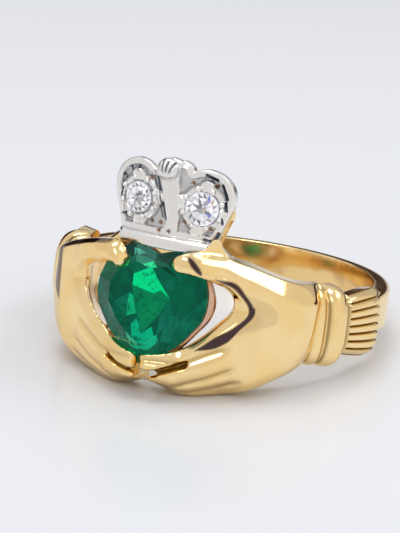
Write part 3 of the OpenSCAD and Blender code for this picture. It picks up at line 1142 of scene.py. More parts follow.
        # Painted dark reflections on the gold.
        dirt_and_painted_shade = self.painted_reflections(p)
        share = np.clip(points[:, 1] / self.depth, 0, 1)
        turn = np.radians((points[:, 0] + draft * share) / self.per_degree)
        radius = front + (back - front) * share
        points[:, 0] = radius * np.sin(turn)
        points[:, 1] = -radius * np.cos(turn)
        Bench.move(obj, points)
        Bench.modify(obj, "SMOOTH", factor=0.5, iterations=3)
        points = Bench.points(obj)
        points[:, 2] = np.maximum(points[:, 2], POSE.floor(points[:, 1]))
        Bench.move(obj, points)
        # Paint the shade in the furrows and the dark reflections, fading towards the back.
        for label, values, deep in (("recess", dark, self.recess_deep),
                                    ("dirt_and_painted_shade", dirt_and_painted_shade, self.painted_shade_deep)):
            Bench.paint(obj, label, values * falling(share, (0.6 * deep, deep)))
        Bench.shade(obj, 50)
        return obj


def left_hand() -> Hand:
    """The other hand, whose thumb lies lower and ends in a broader leaf.

    Returns:
        The hand, as it is before it is mirrored.
    """
    return Hand(
        more=1.6, horn=0.0, head_wide=(0.30, 0.06), head_deep=(0.22, 0.10), head_power=2.1,
        slot_end=11.2, furrow=0.075, furrow_painted_shade=0.36, round_wrist=1.0, dirt_and_painted_shade=0.0, shell=0.5,
        lip_top=1.3, low_ease=(12.0, 38.0), tip_round=0.42, lip=0.05, draft=0.55,
        # Painted dark reflection only along the crest and outer edge, none round the gap.
        crest_painted_reflection=0.82, painted_shade_deep=0.30,
        gap=[(0.6, -2.62), (1.4, -2.46), (3.5, -2.42), (8.4, -2.14), (11.8, -1.80),
             (15.8, -1.26), (19.8, -0.68), (22.0, -0.30), (23.8, 0.10), (24.8, 0.52),
             (24.9, 0.95), (23.9, 1.40), (21.8, 1.78), (18.4, 2.00), (14.5, 2.12),
             (11.3, 2.12)],
        top_side=[(9.5, 2.02), (8.3, 2.06), (7.5, 2.34), (7.8, 2.70), (9.0, 3.08), (10.6, 3.42),
                  (12.4, 3.56), (15.6, 3.46), (19.0, 3.34), (22.8, 3.18), (26.8, 2.98),
                  (31.8, 2.70), (37.5, 2.32), (43.0, 1.92), (48.0, 1.54), (52.5, 1.20),
                  (57.5, 0.95)])


@dataclass
class Cuff:
    """Rolled bead and fluted sleeve at the wrist.

    Places named at, half, start and end are in degrees round the finger.
    """

    bead_at: float = 62.5
    bead_half: float = 4.2
    bead_high: float = 2.42
    bead_drop: float = 0.38
    bead_rise: float = 1.82
    flank_at: float = 55.9
    flank_half: float = 3.1
    flank_rise: float = 1.52
    voxel: float = 0.05
    start: float = 66.6
    sleeve_drop: float = 0.30
    end: float = 88.0
    narrow: float = 1.68
    wide: float = 2.06
    thick: float = 1.45
    flutes: int = 8
    per_flute: int = 14
    steps: int = 30
    deep: float = 0.20

    def roll(self, name: str, middle: float, half: float, high: float,
             rise: float) -> bpy.types.Object:
        """One rounded roll across the band.

        Args:
            name: Name of the roll.
            middle: Angle of its middle.
            half: Half of its width, in degrees.
            high: Half of its length along the finger.
            rise: Its height over the finger's hole.

        Returns:
            The roll.
        """
        rings, count, steps = [], 56, 15
        for k in range(-steps, steps + 1):
            s = 0.995 * math.sin(math.pi / 2 * k / steps)
            w = math.sqrt(1 - s * s)
            h, g = high - 0.4 * (1 - w), rise - 0.5 * (1 - w)
            ring = []
            for j in range(count):
                u = 2 * math.pi * j / count
                c, d = math.cos(u), math.sin(u)
                q = (abs(c) ** 3 + abs(d) ** 3) ** (-1 / 3)
                ring.append(about(HOLE + g * max(c * q, 0.0), middle + s * half,
                                  h * d * q - self.bead_drop))
            rings.append(ring)
        return Bench.loft(name, rings)

    def build_bead(self, name: str) -> bpy.types.Object:
        """Main roll with the thinner flank before it, and painted shade in the creases.

        Args:
            name: Name of the bead.

        Returns:
            The bead.
        """
        main = self.roll("roll", self.bead_at, self.bead_half, self.bead_high, self.bead_rise)
        flank = self.roll("flank", self.flank_at, self.flank_half, self.bead_high - 0.08,
                          self.flank_rise)
        obj = Bench.join(name, [main, flank])
        Bench.fuse(obj, self.voxel, 4)
        points = Bench.points(obj)
        angle = np.degrees(np.arctan2(points[:, 0], -points[:, 1]))
        # Painted shade in the creases at the edges of the roll and the flank.
        dark = sum(share * bell(angle, place, 0.4) for place, share in (
            (self.bead_at - self.bead_half + 0.4, 0.8), (self.bead_at + self.bead_half - 0.3, 0.6),
            (self.flank_at - self.flank_half + 0.7, 0.5)))
        Bench.paint(obj, "recess", np.clip(dark, 0, 1))
        Bench.shade(obj, 40)
        return obj

    def build_sleeve(self, name: str) -> bpy.types.Object:
        """Sleeve with flat lands and narrow grooves that fan out towards the band, with painted
        shade in the grooves and along its edge next to the bead.

        Args:
            name: Name of the sleeve.

        Returns:
            The sleeve.
        """
        rings, dark, count = [], [], self.flutes * self.per_flute
        for k in range(self.steps + 1):
            x = k / self.steps
            angle = self.start + (self.end - self.start) * x
            fall = x ** 14
            h = self.narrow + (self.wide - self.narrow) * math.sin(math.pi / 2 * x) - 0.30 * fall
            g = self.thick - 0.4 * fall - 0.30 * falling(x, (0.04, 0.10))
            fade = rising(x, (0.06, 0.13)) * (1 - 0.7 * rising(x, (0.92, 1.0)))
            ring = []
            for j in range(count + 1):
                t, s = -1 + 2 * j / count, (j % self.per_flute) / self.per_flute
                groove = max(1 - min(s, 1 - s) / 0.22, 0.0) ** 1.3
                cut = 0 if j in (0, count) else self.deep * groove * fade
                swell = 0.9 * math.sin(math.pi * s)
                ring.append(about(HOLE + g - cut - 0.62 * abs(t) ** 6, angle + swell * x,
                                  h * t - self.sleeve_drop))
                # Painted shade in each groove.
                near = bell(min(s, 1 - s), 0, 0.13) if 0 < j < count else 0.0
                dark.append(0.85 * near * rising(x, (0.08, 0.13)))
            for side in (1, -1):
                ring.append(about(HOLE + 0.02, angle, side * h * 0.92 - self.sleeve_drop))
                dark.append(0.0)
            rings.append(ring)
            # Painted shade along the sleeve's edge next to the bead.
            strip = 0.7 * falling(x, (0.06, 0.095))
            dark[-len(ring):] = np.maximum(dark[-len(ring):], strip)
        obj = Bench.loft(name, rings)
        Bench.paint(obj, "recess", np.array(dark))
        Bench.shade(obj, 30)
        return obj


@dataclass
class Band:
    """Plain band behind the hands, with its ends at an angle from the face."""

    thick: float = 0.98
    width: float = 2.5
    edge: float = 0.40
    inner_edge: float = 0.07
    start: float = 41.0
    steps: int = 150

    def build(self, name: str) -> bpy.types.Object:
        """Spin a rounded section about the finger's axis.

        Args:
            name: Name of the band.

        Returns:
            The band.
        """
        Bench.clear()
        middle = HOLE + self.thick / 2
        bpy.ops.mesh.primitive_plane_add(size=1, location=(0, 0, 0))
        obj = bpy.context.object
        obj.name = name
        start = math.radians(self.start)
        turn = Matrix.Rotation(start - math.pi / 2, 4, "Z")
        shape = Matrix(((self.thick, 0, 0, middle), (0, 0, 1, 0),
                        (0, self.width, 0, 0), (0, 0, 0, 1)))
        obj.data.transform(turn @ shape)
        bpy.ops.object.mode_set(mode="EDIT")
        Bench.choose(obj, lambda co: math.hypot(co.x, co.y) > middle)
        bpy.ops.mesh.bevel(offset=self.edge, segments=8, affect="VERTICES")
        Bench.choose(obj, lambda co: math.hypot(co.x, co.y) < HOLE + 0.02)
        bpy.ops.mesh.bevel(offset=self.inner_edge, segments=3, affect="VERTICES")
        bpy.ops.mesh.select_all(action="SELECT")
        bpy.ops.mesh.spin(steps=self.steps, angle=2 * math.pi - 2 * start, center=(0, 0, 0),
                          axis=(0, 0, -1))
        Bench.close(0.0005)
        Bench.shade(obj, 35)
        return obj


# Stones


Corners = Sequence[bmesh.types.BMVert]


class Cut:
    """Faceted stone whose inner faces glow with painted light, each in its own tone."""

    def __init__(self) -> None:
        """Start with an empty mesh."""
        self.mesh = bmesh.new()
        self.tone = self.mesh.loops.layers.float_color.new("tone")

    def ring(self, points: Sequence[Flat], scale: float, y: float) -> Corners:
        """Add a ring of points at a depth."""
        return [self.mesh.verts.new((x * scale, y, z * scale)) for x, z in points]

    def facets(self, *outlines: Corners) -> list[bmesh.types.BMFace]:
        """Add a facet for each outline."""
        return [self.mesh.faces.new(outline) for outline in outlines]

    def front(self, outline: Sequence[Flat], table: Flat, star: Flat, edge: float) -> Corners:
        """Add the table, the stars and the kites.

        Args:
            outline: Points of the girdle.
            table: Size of the table against the outline, and its depth.
            star: Size of the stars' ring against the outline, and its depth.
            edge: Depth of the girdle.

        Returns:
            Corners of the girdle.
        """
        n, m = len(outline), len(outline) // 2
        top = self.ring(outline[0::2], *table)
        stars = self.ring(outline[1::2], *star)
        girdle = self.ring(outline, 1.0, edge)
        self.facets(top[::-1])
        for k in range(m):
            self.facets((top[k], top[(k + 1) % m], stars[k]),
                        (top[k], stars[k], girdle[2 * k], stars[k - 1]),
                        (stars[k], girdle[2 * k + 1], girdle[2 * k]),
                        (stars[k], girdle[(2 * k + 2) % n], girdle[2 * k + 1]))
        return girdle

    def glow(self, face: bmesh.types.BMFace, colour: Colour) -> None:
        """Make a facet an inner one with its painted glowing tone.

        Args:
            face: Facet.
            colour: Its tone.
        """
        face.material_index = 1
        for loop in face.loops:
            loop[self.tone] = (*colour, 1.0)

    def finish(self, name: str, matrix: Matrix) -> bpy.types.Object:
        """Turn the facets outward and put the stone in its place.

        Args:
            name: Name of the stone.
            matrix: Its place.

        Returns:
            The stone, with slots for its front and its inside.
        """
        bmesh.ops.recalc_face_normals(self.mesh, faces=self.mesh.faces)
        data = bpy.data.meshes.new(name)
        for _ in range(2):
            data.materials.append(None)
        self.mesh.to_mesh(data)
        self.mesh.free()
        obj = bpy.data.objects.new(name, data)
        bpy.context.collection.objects.link(obj)
        data.transform(matrix)
        Bench.shade(obj, None)
        return obj


@dataclass
class HeartStone:
    """Heart-shaped green stone with its setting.

    Each patch is the painted glow, light or dark, of the inner facets inside its outline.
    """

    half: float = 3.45
    out: float = 10.95
    up: float = 0.5
    lean: float = 8.0
    crown: float = 0.85
    back: float = 1.6
    edge: float = 0.14
    table: float = 0.68
    wall: float = 0.12
    wall_deep: float = 1.9
    wall_taper: float = 0.9
    wall_count: int = 112
    count: int = 28
    inner_count: int = 7
    near_edge: float = 0.985
    patches: list[tuple[Colour, list[Flat]]] = field(default_factory=lambda: [
        ((0.17, 0.40, 0.34), [(-1.62, 2.55), (-1.50, 1.98), (-0.98, 2.30)]),
        ((0.00, 0.68, 0.28), [(-1.50, 1.20), (-0.45, 1.80), (0.05, 1.05), (0.80, 0.20),
                              (0.15, 0.55), (-0.25, 0.30), (-1.50, 0.55)]),
        ((0.00, 0.20, 0.085), [(-1.50, 0.55), (-0.25, 0.30), (0.15, 0.55), (0.80, 0.20),
                               (0.25, -0.95), (-0.35, -2.00), (-0.95, -0.95)]),
        ((0.01, 0.50, 0.24), [(-1.62, 0.10), (-1.38, 0.00), (-0.98, -0.98), (-1.50, -1.25)]),
        ((0.00, 0.40, 0.24), [(-1.10, -1.55), (-0.85, -1.25), (-0.40, -2.05), (0.10, -1.55),
                              (0.45, -2.10), (0.05, -2.70), (-0.75, -2.65)]),
        ((0.00, 0.10, 0.055), [(1.10, 1.45), (2.00, 1.50), (2.15, -0.20), (1.20, -0.55),
                               (0.95, 0.60)]),
        ((0.01, 0.14, 0.10), [(0.45, -0.90), (1.35, -0.75), (1.30, -2.10), (0.55, -2.05)])])

    def matrix(self) -> Matrix:
        """Matrix from the stone's frame to the ring's."""
        return (Matrix.Translation((0, -self.out, self.up))
                @ Matrix.Rotation(math.radians(-self.lean), 4, "X"))

    def point(self, u: float, grow: float = 0.0) -> Flat:
        """Find a point of the outline.

        Args:
            u: Place on the way round, from the tip at 0 to the tip at 2.
            grow: How far outside the stone it lies.

        Returns:
            Its place across and its height.
        """
        u %= 2
        v, side = (u, 1) if u <= 1 else (2 - u, -1)
        a = math.radians(-90 + 180 * v)
        r = self.half * read(HEART, WIDTH, v) + grow
        return side * r * math.cos(a), r * math.sin(a)

    def share(self, x: float, z: float) -> float:
        """Share of the way from the middle to the outline."""
        a = math.degrees(math.atan2(z, abs(x)))
        return math.hypot(x, z) / (self.half * read(HEART, WIDTH, (a + 90) / 180))

    def tone(self, x: float, z: float, rng: random.Random) -> Colour:
        """Painted glow of an inner facet, standing in for the light inside the stone.

        Args:
            x: Place of its middle across.
            z: Height of its middle.
            rng: Source of the facet's own share of light.

        Returns:
            Its colour.
        """
        for colour, outline in self.patches:
            inside = False
            for (xi, zi), (xj, zj) in zip(outline, outline[-1:] + outline[:-1]):
                if (zi > z) != (zj > z) and x < (xj - xi) * (z - zi) / (zj - zi) + xi:
                    inside = not inside
            if inside:
                return colour
        light = 0.6 + 0.7 * rng.random()
        # Painted shadow on the facets below the crown's rail.
        shade = 0.30 if z > 1.9 else 1.0
        return (0.004 * light, 0.115 * light * shade, 0.070 * light * shade)

    def build_stone(self, name: str) -> bpy.types.Object:
        """Cut the stone: table, stars, kites, edge and inner facets.

        Args:
            name: Name of the stone.

        Returns:
            The stone.
        """
        rng, n, front = random.Random(7), self.count, self.edge / 2
        outline = [self.point(2 * k / n) for k in range(n)]
        cut = Cut()
        girdle = cut.front(outline, (self.table, -front - self.crown),
                           ((1 + self.table) / 2 - 0.035, -front - self.crown * 0.55), -front)
        rear = cut.ring(outline, 1.0, front)
        for k in range(n):
            j = (k + 1) % n
            cut.facets((girdle[k], girdle[j], rear[j], rear[k]))

        flat, edges = [], []
        for corners in (outline, *(corners for _, corners in self.patches)):
            base, size = len(flat), len(corners)
            flat += [Vector(p) for p in corners]
            edges += [(base + k, base + (k + 1) % size) for k in range(size)]
        for k in range(self.inner_count):
            flat.append(Vector(self.point(2 * (k + 0.5) / self.inner_count)) * 0.72)
        flat.append(Vector((0.0, 0.0)))
        points, _, triangles, *_ = geometry.delaunay_2d_cdt(flat, edges, [], 1, 1e-4)
        deep = []
        for p in points:
            share = self.share(p.x, p.y)
            if share > self.near_edge:
                deep.append(rear[min(range(n), key=lambda k: (Vector(outline[k]) - p).length)])
            else:
                y = front + self.back * (1 - share) ** 0.8
                deep.append(cut.mesh.verts.new((p.x, y, p.y)))
        for triangle in triangles:
            corners = [deep[i] for i in triangle]
            if len(set(corners)) == 3:
                face, = cut.facets(corners)
                middle = face.calc_center_median()
                cut.glow(face, self.tone(middle.x, middle.z, rng))
        return cut.finish(name, self.matrix())

    def wall_ring(self, y: float, grow: float) -> Ring:
        """Ring of the setting's wall.

        Args:
            y: Its depth.
            grow: How far it lies outside the stone.

        Returns:
            Points of the ring, lower and further in at the cleft.
        """
        ring = []
        for k in range(self.wall_count):
            u = 2 * k / self.wall_count
            more = 0.20 * bell(u, 0.52, 0.09) if grow > 0.08 else 0.0
            cleft = bell(u, 1.0, 0.08)
            x, z = self.point(u, grow + more - 0.25 * cleft)
            ring.append(Vector((x, y + 0.4 * cleft, z)))
        return ring

    def build_setting(self, name: str) -> bpy.types.Object:
        """Thin wall round the stone, which narrows behind it, with painted shade at its top under
        the crown's rail.

        Args:
            name: Name of the wall.

        Returns:
            The wall.
        """
        section = [(0.14, self.wall - 0.12), (0.26, self.wall - 0.02), (0.55, self.wall),
                   (1.0, self.wall - 0.16), (self.wall_deep, self.wall - self.wall_taper),
                   (self.wall_deep, self.wall - self.wall_taper - 0.4), (0.60, -0.35),
                   (0.45, 0.01), (0.14, 0.01)]
        rings = [self.wall_ring(y, grow) for y, grow in section + section[:1]]
        obj = Bench.loft(name, rings)
        bpy.ops.object.mode_set(mode="EDIT")
        Bench.drop(obj, "FACES_ONLY", lambda mesh: [f for f in mesh.faces if len(f.verts) > 4])
        Bench.close(0.0005)
        points = Bench.points(obj)
        # Painted shade at the top middle of the wall, below the crown's rail.
        Bench.paint(obj, "dirt_and_painted_shade",
                    0.9 * bell(points[:, 0], 0, 1.1) * rising(points[:, 2], (1.6, 2.2)))
        obj.data.transform(self.matrix())
        Bench.shade(obj, 35)
        return obj


# Crown


@dataclass
class Crown:
    """White crown with two engraved fields, a pillar, a ball and a rail.

    Each cut is a line, half its width and its depth; each spot is a brown pit.
    Rows of the yellow back are a height and half its width there.  The diamonds'
    inner facets glow with one of the painted lights in turn, and a few with painted fire colours.
    """

    r: float = 10.2
    thick: float = 0.5
    back_thick: float = 0.45
    field_deep: float = 0.25
    field_dark: float = 0.44
    rim: float = 0.36
    lobe_r: float = 1.58
    lobe_x: float = 2.12
    lobe_z: float = 6.6
    waist: float = 2.93
    waist_z: float = 4.05
    middle_z: float = 5.9
    rail_half: float = 2.9
    rail_high: float = 0.72
    rail_out: float = 0.42
    ball_r: float = 0.68
    ball_x: float = -0.20
    ball_z: float = 7.84
    bump_x: float = 0.66
    stone_r: float = 1.02
    stone_at: float = 11.2
    stone_z: float = 5.94
    grains: int = 8
    voxel: float = 0.040
    pillar_left: Curve = ((4.05, 4.60, 5.03, 6.19, 7.05), (-0.50, -0.14, -0.04, -0.38, -0.62))
    pillar_right: Curve = ((4.17, 5.16, 6.36, 7.34), (0.68, 0.70, 0.55, 0.50))
    pillar_high: float = 0.05
    rim_round: float = 0.05
    bump_high: float = 0.16
    prong_high: Flat = (0.10, 0.22)
    prong_out: float = 0.38
    cut_deep: float = 0.14
    spot_deep: float = 0.06
    lights: tuple[Triple, Triple] = ((1.25, 1.1, 0.85), (0.22, 0.42, 0.75))
    fire: tuple[Colour, ...] = ((0.16, 0.24, 0.70), (0.45, 0.38, 0.70), (0.70, 0.52, 0.36))
    fire_share: float = 0.11
    cuts: list[tuple[Flat, Flat, float, float]] = field(default_factory=lambda: [
        ((2.01, 7.87), (2.64, 7.68), 0.080, 1.0), ((2.95, 7.39), (3.26, 6.68), 0.090, 1.0),
        ((3.23, 6.37), (3.29, 6.01), 0.080, 1.0), ((3.11, 5.49), (3.17, 5.28), 0.065, 1.0),
        ((3.03, 4.66), (2.87, 4.24), 0.085, 1.0), ((2.30, 4.22), (2.66, 4.20), 0.070, 0.9),
        ((-3.20, 7.02), (-3.04, 6.85), 0.040, 0.5), ((-3.19, 6.40), (-3.12, 5.63), 0.045, 0.8),
        ((-2.94, 4.84), (-2.62, 4.85), 0.055, 0.8), ((-2.81, 7.63), (-2.66, 7.22), 0.040, 0.5),
        ((-2.24, 7.75), (-2.21, 7.35), 0.040, 0.45),
        ((-1.08, 7.60), (-0.54, 6.16), 0.045, 0.55), ((-0.54, 6.16), (-0.15, 5.01), 0.045, 0.65),
        ((-1.28, 7.58), (-0.74, 6.13), 0.035, 0.35), ((-0.74, 6.13), (-0.36, 5.05), 0.035, 0.4)])
    spots: list[Flat] = field(default_factory=lambda: [
        (1.23, 7.29), (2.61, 7.31), (0.97, 5.01), (1.38, 4.79), (2.53, 4.86), (0.21, 4.37),
        (-1.35, 7.19), (-1.03, 4.73), (-0.47, 4.73), (-0.41, 4.33)])
    back_rows: list[Flat] = field(default_factory=lambda: [
        (3.4, 2.86), (4.05, 2.97), (4.8, 3.22), (5.6, 3.5), (6.3, 3.42), (6.8, 3.3)])

    @property
    def stone_x(self) -> float:
        """How far a round stone sits to the side."""
        return self.r * math.sin(math.radians(self.stone_at))

    @staticmethod
    def on_round(x: float, radius: float, z: float) -> Vector:
        """Point across and up, on a round about the finger's axis."""
        return Vector((x, -math.sqrt(radius ** 2 - x * x), z))

    def shapes(self) -> tuple[list[Triple], list[Flat]]:
        """Shapes that the outline runs round.

        Returns:
            Circles, each with its middle and radius, and the corners of a polygon.
        """
        circles = [(s * self.lobe_x, self.lobe_z, self.lobe_r) for s in (-1, 1)]
        circles.append((0.0, self.ball_z - 0.3, self.ball_r + 0.30))
        circles.append((self.bump_x, self.ball_z - 0.05, 0.66))
        side = self.lobe_x + self.lobe_r - 0.06
        half = [(self.waist, self.waist_z), (side, self.lobe_z - 0.5),
                (self.lobe_x, self.lobe_z + self.lobe_r), (0.6, self.lobe_z + self.lobe_r - 0.6)]
        return circles, half + [(-x, z) for x, z in half[::-1]]

    def outline(self, count: int = 300) -> list[Flat]:
        """Outline of the crown, seen from a point in its middle.

        Args:
            count: Number of its points.

        Returns:
            Points of the outline.
        """
        circles, poly = self.shapes()
        middle, out = self.middle_z, []
        for k in range(count):
            a = 2 * math.pi * k / count
            dx, dz, far = math.sin(a), math.cos(a), 0.0
            for x, z, r in circles:
                b = x * dx + (z - middle) * dz
                c = x ** 2 + (z - middle) ** 2 - r * r
                if b * b - c >= 0:
                    far = max(far, b + math.sqrt(b * b - c))
            for (x1, z1), (x2, z2) in zip(poly, poly[1:] + poly[:1]):
                det = dx * (z2 - z1) - dz * (x2 - x1)
                if abs(det) > 1e-9:
                    t = (x1 * (z2 - z1) - (z1 - middle) * (x2 - x1)) / det
                    u = (x1 * dz - (z1 - middle) * dx) / det
                    if t > 0 and 0 <= u <= 1:
                        far = max(far, t)
            out.append((dx * far, middle + dz * far))
        return out

    def relief(self, x: np.ndarray, z: np.ndarray) -> tuple[np.ndarray, ...]:
        """Carve the front.

        Args:
            x: Places across the crown.
            z: Places up the crown.

        Returns:
            Height against the rim, how dark the recess is and how brown.
        """
        line = self.outline()
        edge = distance(np.array(line + line[:1]), x, z)
        left, right = np.interp(z, *self.pillar_left), np.interp(z, *self.pillar_right)
        pillar = rising(x - left, (-0.05, 0.06)) * falling(x - right, (-0.05, 0.08))
        inside = rising(edge, (self.rim, self.rim + 0.08)) * (1 - pillar)
        inside *= rising(z, (self.waist_z + 0.02, self.waist_z + 0.12))
        dark = self.field_dark * inside
        across = np.clip((x - left) / (right - left), 0, 1)
        height = -self.field_deep * inside - self.rim_round * falling(edge, (0.0, 0.12))
        height += self.pillar_high * pillar * np.sin(math.pi * across)
        height += self.bump_high * falling(np.hypot(x - self.bump_x, z - self.ball_z + 0.05),
                                           (0.1, 0.6))
        for side in (-1, 1):
            dx, dz = x - side * self.stone_x, z - self.stone_z
            rho, theta = np.hypot(dx, dz), np.arctan2(dz, dx)
            near = (np.sign(x) == side) * inside
            leaf = np.clip(np.cos(4 * theta + 0.6 * side), 0, 1) ** 0.7
            past = rho - self.prong_out * leaf
            ring = near * rising(rho, (0.9, 1.02)) * falling(past, (1.22, 1.32))
            height += ring * (self.prong_high[0] + self.prong_high[1] * leaf)
            # A thin line of painted shade just outside each prong ring; the raised ring is less dark
            # than the field.
            dark += 0.22 * near * bell(past, 1.40, 0.07) - 0.30 * ring
        pit, brown = np.zeros(len(x)), np.zeros(len(x))
        for start, stop, half, share in self.cuts:
            away = distance(np.array([start, stop]), x, z)
            pit = np.maximum(pit, share * falling(away, (half * 0.7, half * 1.6)))
        for sx, sz in self.spots:
            brown = np.maximum(brown, falling(np.hypot(x - sx, z - sz), (0.05, 0.20)))
        height -= self.cut_deep * pit + self.spot_deep * brown
        return height, np.clip(dark + pit, 0, 1), brown

    def wrap(self, points: np.ndarray) -> np.ndarray:
        """Bend flat points onto the ring's round front.

        Args:
            points: Flat points, one in each row.

        Returns:
            The bent points.
        """
        out = points.copy()
        radius = self.r - points[:, 1]
        out[:, 1] = -np.sqrt(np.maximum(radius ** 2 - points[:, 0] ** 2, 0.01))
        return out

    def build_plate(self, name: str) -> bpy.types.Object:
        """Extrude the outline, carve its front and bend it.

        Args:
            name: Name of the plate.

        Returns:
            The plate.
        """
        line = self.outline()
        obj = Bench.loft(name, [[Vector((x, y, z)) for x, z in line] for y in (0.0, self.thick)])
        Bench.fuse(obj, self.voxel, 3)
        points = Bench.points(obj)
        height, dark, brown = self.relief(points[:, 0], points[:, 2])
        face = falling(points[:, 1], (0.08, 0.30))
        points[:, 1] -= height * face
        Bench.move(obj, self.wrap(points))
        Bench.paint(obj, "recess", dark * face)
        Bench.paint(obj, "dirt_and_painted_shade", brown * face)
        Bench.shade(obj, 45)
        return obj

    def build_rail(self, name: str) -> bpy.types.Object:
        """Bar at the crown's foot, which hangs over the stone.

        Args:
            name: Name of the bar.

        Returns:
            The bar.
        """
        rings, steps = [], 48
        low, top = self.waist_z - self.rail_high, self.waist_z
        for k in range(steps + 1):
            x = self.rail_half * (-1 + 2 * k / steps)
            out = self.rail_out * (1 - 0.5 * rising(abs(x), (self.rail_half - 0.25, self.rail_half)))
            section = [(-0.30, low + 0.10), (out * 0.35, low + 0.02), (out * 0.7, low),
                       (out * 0.95, low + 0.05), (out, low + 0.12), (out * 0.88, top - 0.16),
                       (out * 0.78, top - 0.07), (out * 0.55, top), (0.0, top + 0.03),
                       (-0.30, top)]
            rings.append([Vector((x, -t, z)) for t, z in section])
        obj = Bench.loft(name, rings)
        Bench.move(obj, self.wrap(Bench.points(obj)))
        Bench.modify(obj, "BEVEL", width=0.02, segments=2, limit_method="ANGLE")
        Bench.shade(obj, 35)
        return obj

    def build_ball(self, name: str) -> bpy.types.Object:
        """Ball at the top with its engraved fan.

        Args:
            name: Name of the ball.

        Returns:
            The ball.
        """
        Bench.clear()
        bpy.ops.mesh.primitive_uv_sphere_add(segments=64, ring_count=48, radius=self.ball_r)
        obj = bpy.context.object
        obj.name = name
        points = Bench.points(obj)
        x, y, z = points.T
        fan = np.degrees(np.arctan2(x, z + 0.75))
        cut = sum(bell(fan, line, 3.2) for line in (-13, 4, 21))
        cut *= (y < 0) * rising(z, (-0.25, 0.0)) * falling(z, (0.5, 0.6))
        points *= (1 - 0.13 * np.clip(cut, 0, 1))[:, None]
        Bench.move(obj, points + (self.ball_x, -self.r + 0.02, self.ball_z))
        Bench.paint(obj, "recess", np.clip(0.22 + cut * 0.8, 0, 1))
        Bench.shade(obj, 60)
        return obj

    def build_grains(self, name: str) -> bpy.types.Object:
        """Small beads that hold the round stones.

        Args:
            name: Name of the beads.

        Returns:
            The beads in one object.
        """
        beads, rng = [], random.Random(3)
        for side in (-1, 1):
            for k in range(self.grains):
                a = 2 * math.pi * (k + 0.5) / self.grains + 0.1 * rng.random()
                x = side * self.stone_x + (self.stone_r + 0.10) * math.sin(a)
                z = self.stone_z + (self.stone_r + 0.12) * math.cos(a)
                Bench.clear()
                bpy.ops.mesh.primitive_ico_sphere_add(
                    subdivisions=3, radius=0.15 + 0.05 * rng.random(),
                    location=self.on_round(x, self.r, z) + Vector((0, 0.02, 0)))
                Bench.settled(bpy.context.object)
                beads.append(bpy.context.object)
        obj = Bench.join(name, beads)
        Bench.shade(obj, 60)
        return obj

    def foot(self, side: int) -> bpy.types.Object:
        """Foot of the yellow back on one thumb.

        Args:
            side: 1 for the right, -1 for the left.

        Returns:
            The foot.
        """
        rings, steps, count, low = [], 12, 16, 2.55
        for k in range(steps + 1):
            x = side * (2.2 + 2.1 * k / steps)
            top = 3.85 - 0.9 * rising(k / steps, (0.35, 1.0))
            turns = [2 * math.pi * j / count for j in range(count)]
            rings.append([self.on_round(x, 9.62 + 0.78 * math.cos(u),
                                        low + (top - low) * (0.5 + 0.5 * math.sin(u)))
                          for u in turns])
        return Bench.loft("foot", rings)

    def build_back(self, name: str) -> bpy.types.Object:
        """Yellow back that carries the crown, with its feet on the thumbs.

        Args:
            name: Name of the back.

        Returns:
            The back.
        """
        inner, outer = self.r - self.thick - self.back_thick, self.r - self.thick + 0.02
        rings = []
        for z, w in self.back_rows:
            xs = [w * (-1 + 2 * k / 32) for k in range(33)]
            rings.append([self.on_round(x, outer, z) for x in xs]
                         + [self.on_round(x, inner, z) for x in xs[::-1]])
        obj = Bench.join(name, [Bench.loft("plate", rings), self.foot(-1), self.foot(1)])
        Bench.shade(obj, 35)
        return obj

    def build_diamond(self, name: str, side: int) -> bpy.types.Object:
        """Round stone with table, stars, kites and glowing inner facets.

        Args:
            name: Name of the stone.
            side: 1 for the right, -1 for the left.

        Returns:
            The stone.
        """
        rng, n, m, front = random.Random(11 + side), 16, 8, 0.03
        r = self.stone_r * (0.95 if side > 0 else 0.86)
        circle = [(r * math.sin(2 * math.pi * k / n), -r * math.cos(2 * math.pi * k / n))
                  for k in range(n)]
        cut = Cut()
        girdle = cut.front(circle, (0.46, -front - 0.34), (0.70, -front - 0.20), -front)
        middle = cut.ring(circle, 0.60, 0.05)
        inner = cut.ring(circle[0::2], 0.27, 0.09)
        tip = cut.mesh.verts.new((0, 0.13, 0))
        deep = []
        for k in range(n):
            j = (k + 1) % n
            deep += cut.facets((girdle[k], girdle[j], middle[k]),
                               (girdle[j], middle[j], middle[k]))
        for k in range(m):
            j = (k + 1) % m
            deep += cut.facets((middle[2 * k], middle[2 * k + 1], inner[k]),
                               (middle[2 * k + 1], inner[j], inner[k]),
                               (middle[2 * k + 1], middle[(2 * k + 2) % n], inner[j]),
                               (inner[k], inner[j], tip))
        # Painted light: each inner facet glows with one of two lights in turn, and some on the right
        # stone with fire colours.
        for number, face in enumerate(deep):
            light = rng.choice(self.lights[number % 2])
            colour = (light, light, light * 1.03)
            if side > 0 and rng.random() < self.fire_share:
                colour = rng.choice(self.fire)
            cut.glow(face, colour)
        turn = Matrix.Rotation(math.radians(side * self.stone_at), 4, "Z")
        return cut.finish(name, turn @ Matrix.Translation((0, -self.r + 0.06, self.stone_z)))


# Studio


@dataclass(frozen=True)
class Lamp:
    """Soft rectangular lamp that looks at the ring."""

    name: str
    place: Triple
    size: Flat
    watts: float
    colour: Colour

    def hang(self) -> None:
        """Add the lamp to the scene."""
        data = bpy.data.lights.new(self.name, "AREA")
        data.shape = "RECTANGLE"
        data.size, data.size_y = self.size
        data.energy = self.watts
        data.color = self.colour
        obj = bpy.data.objects.new(self.name, data)
        obj.location = self.place
        look = Vector((0, 0, 0.004)) - Vector(self.place)
        obj.rotation_euler = look.to_track_quat("-Z", "Y").to_euler()
        bpy.context.collection.objects.link(obj)


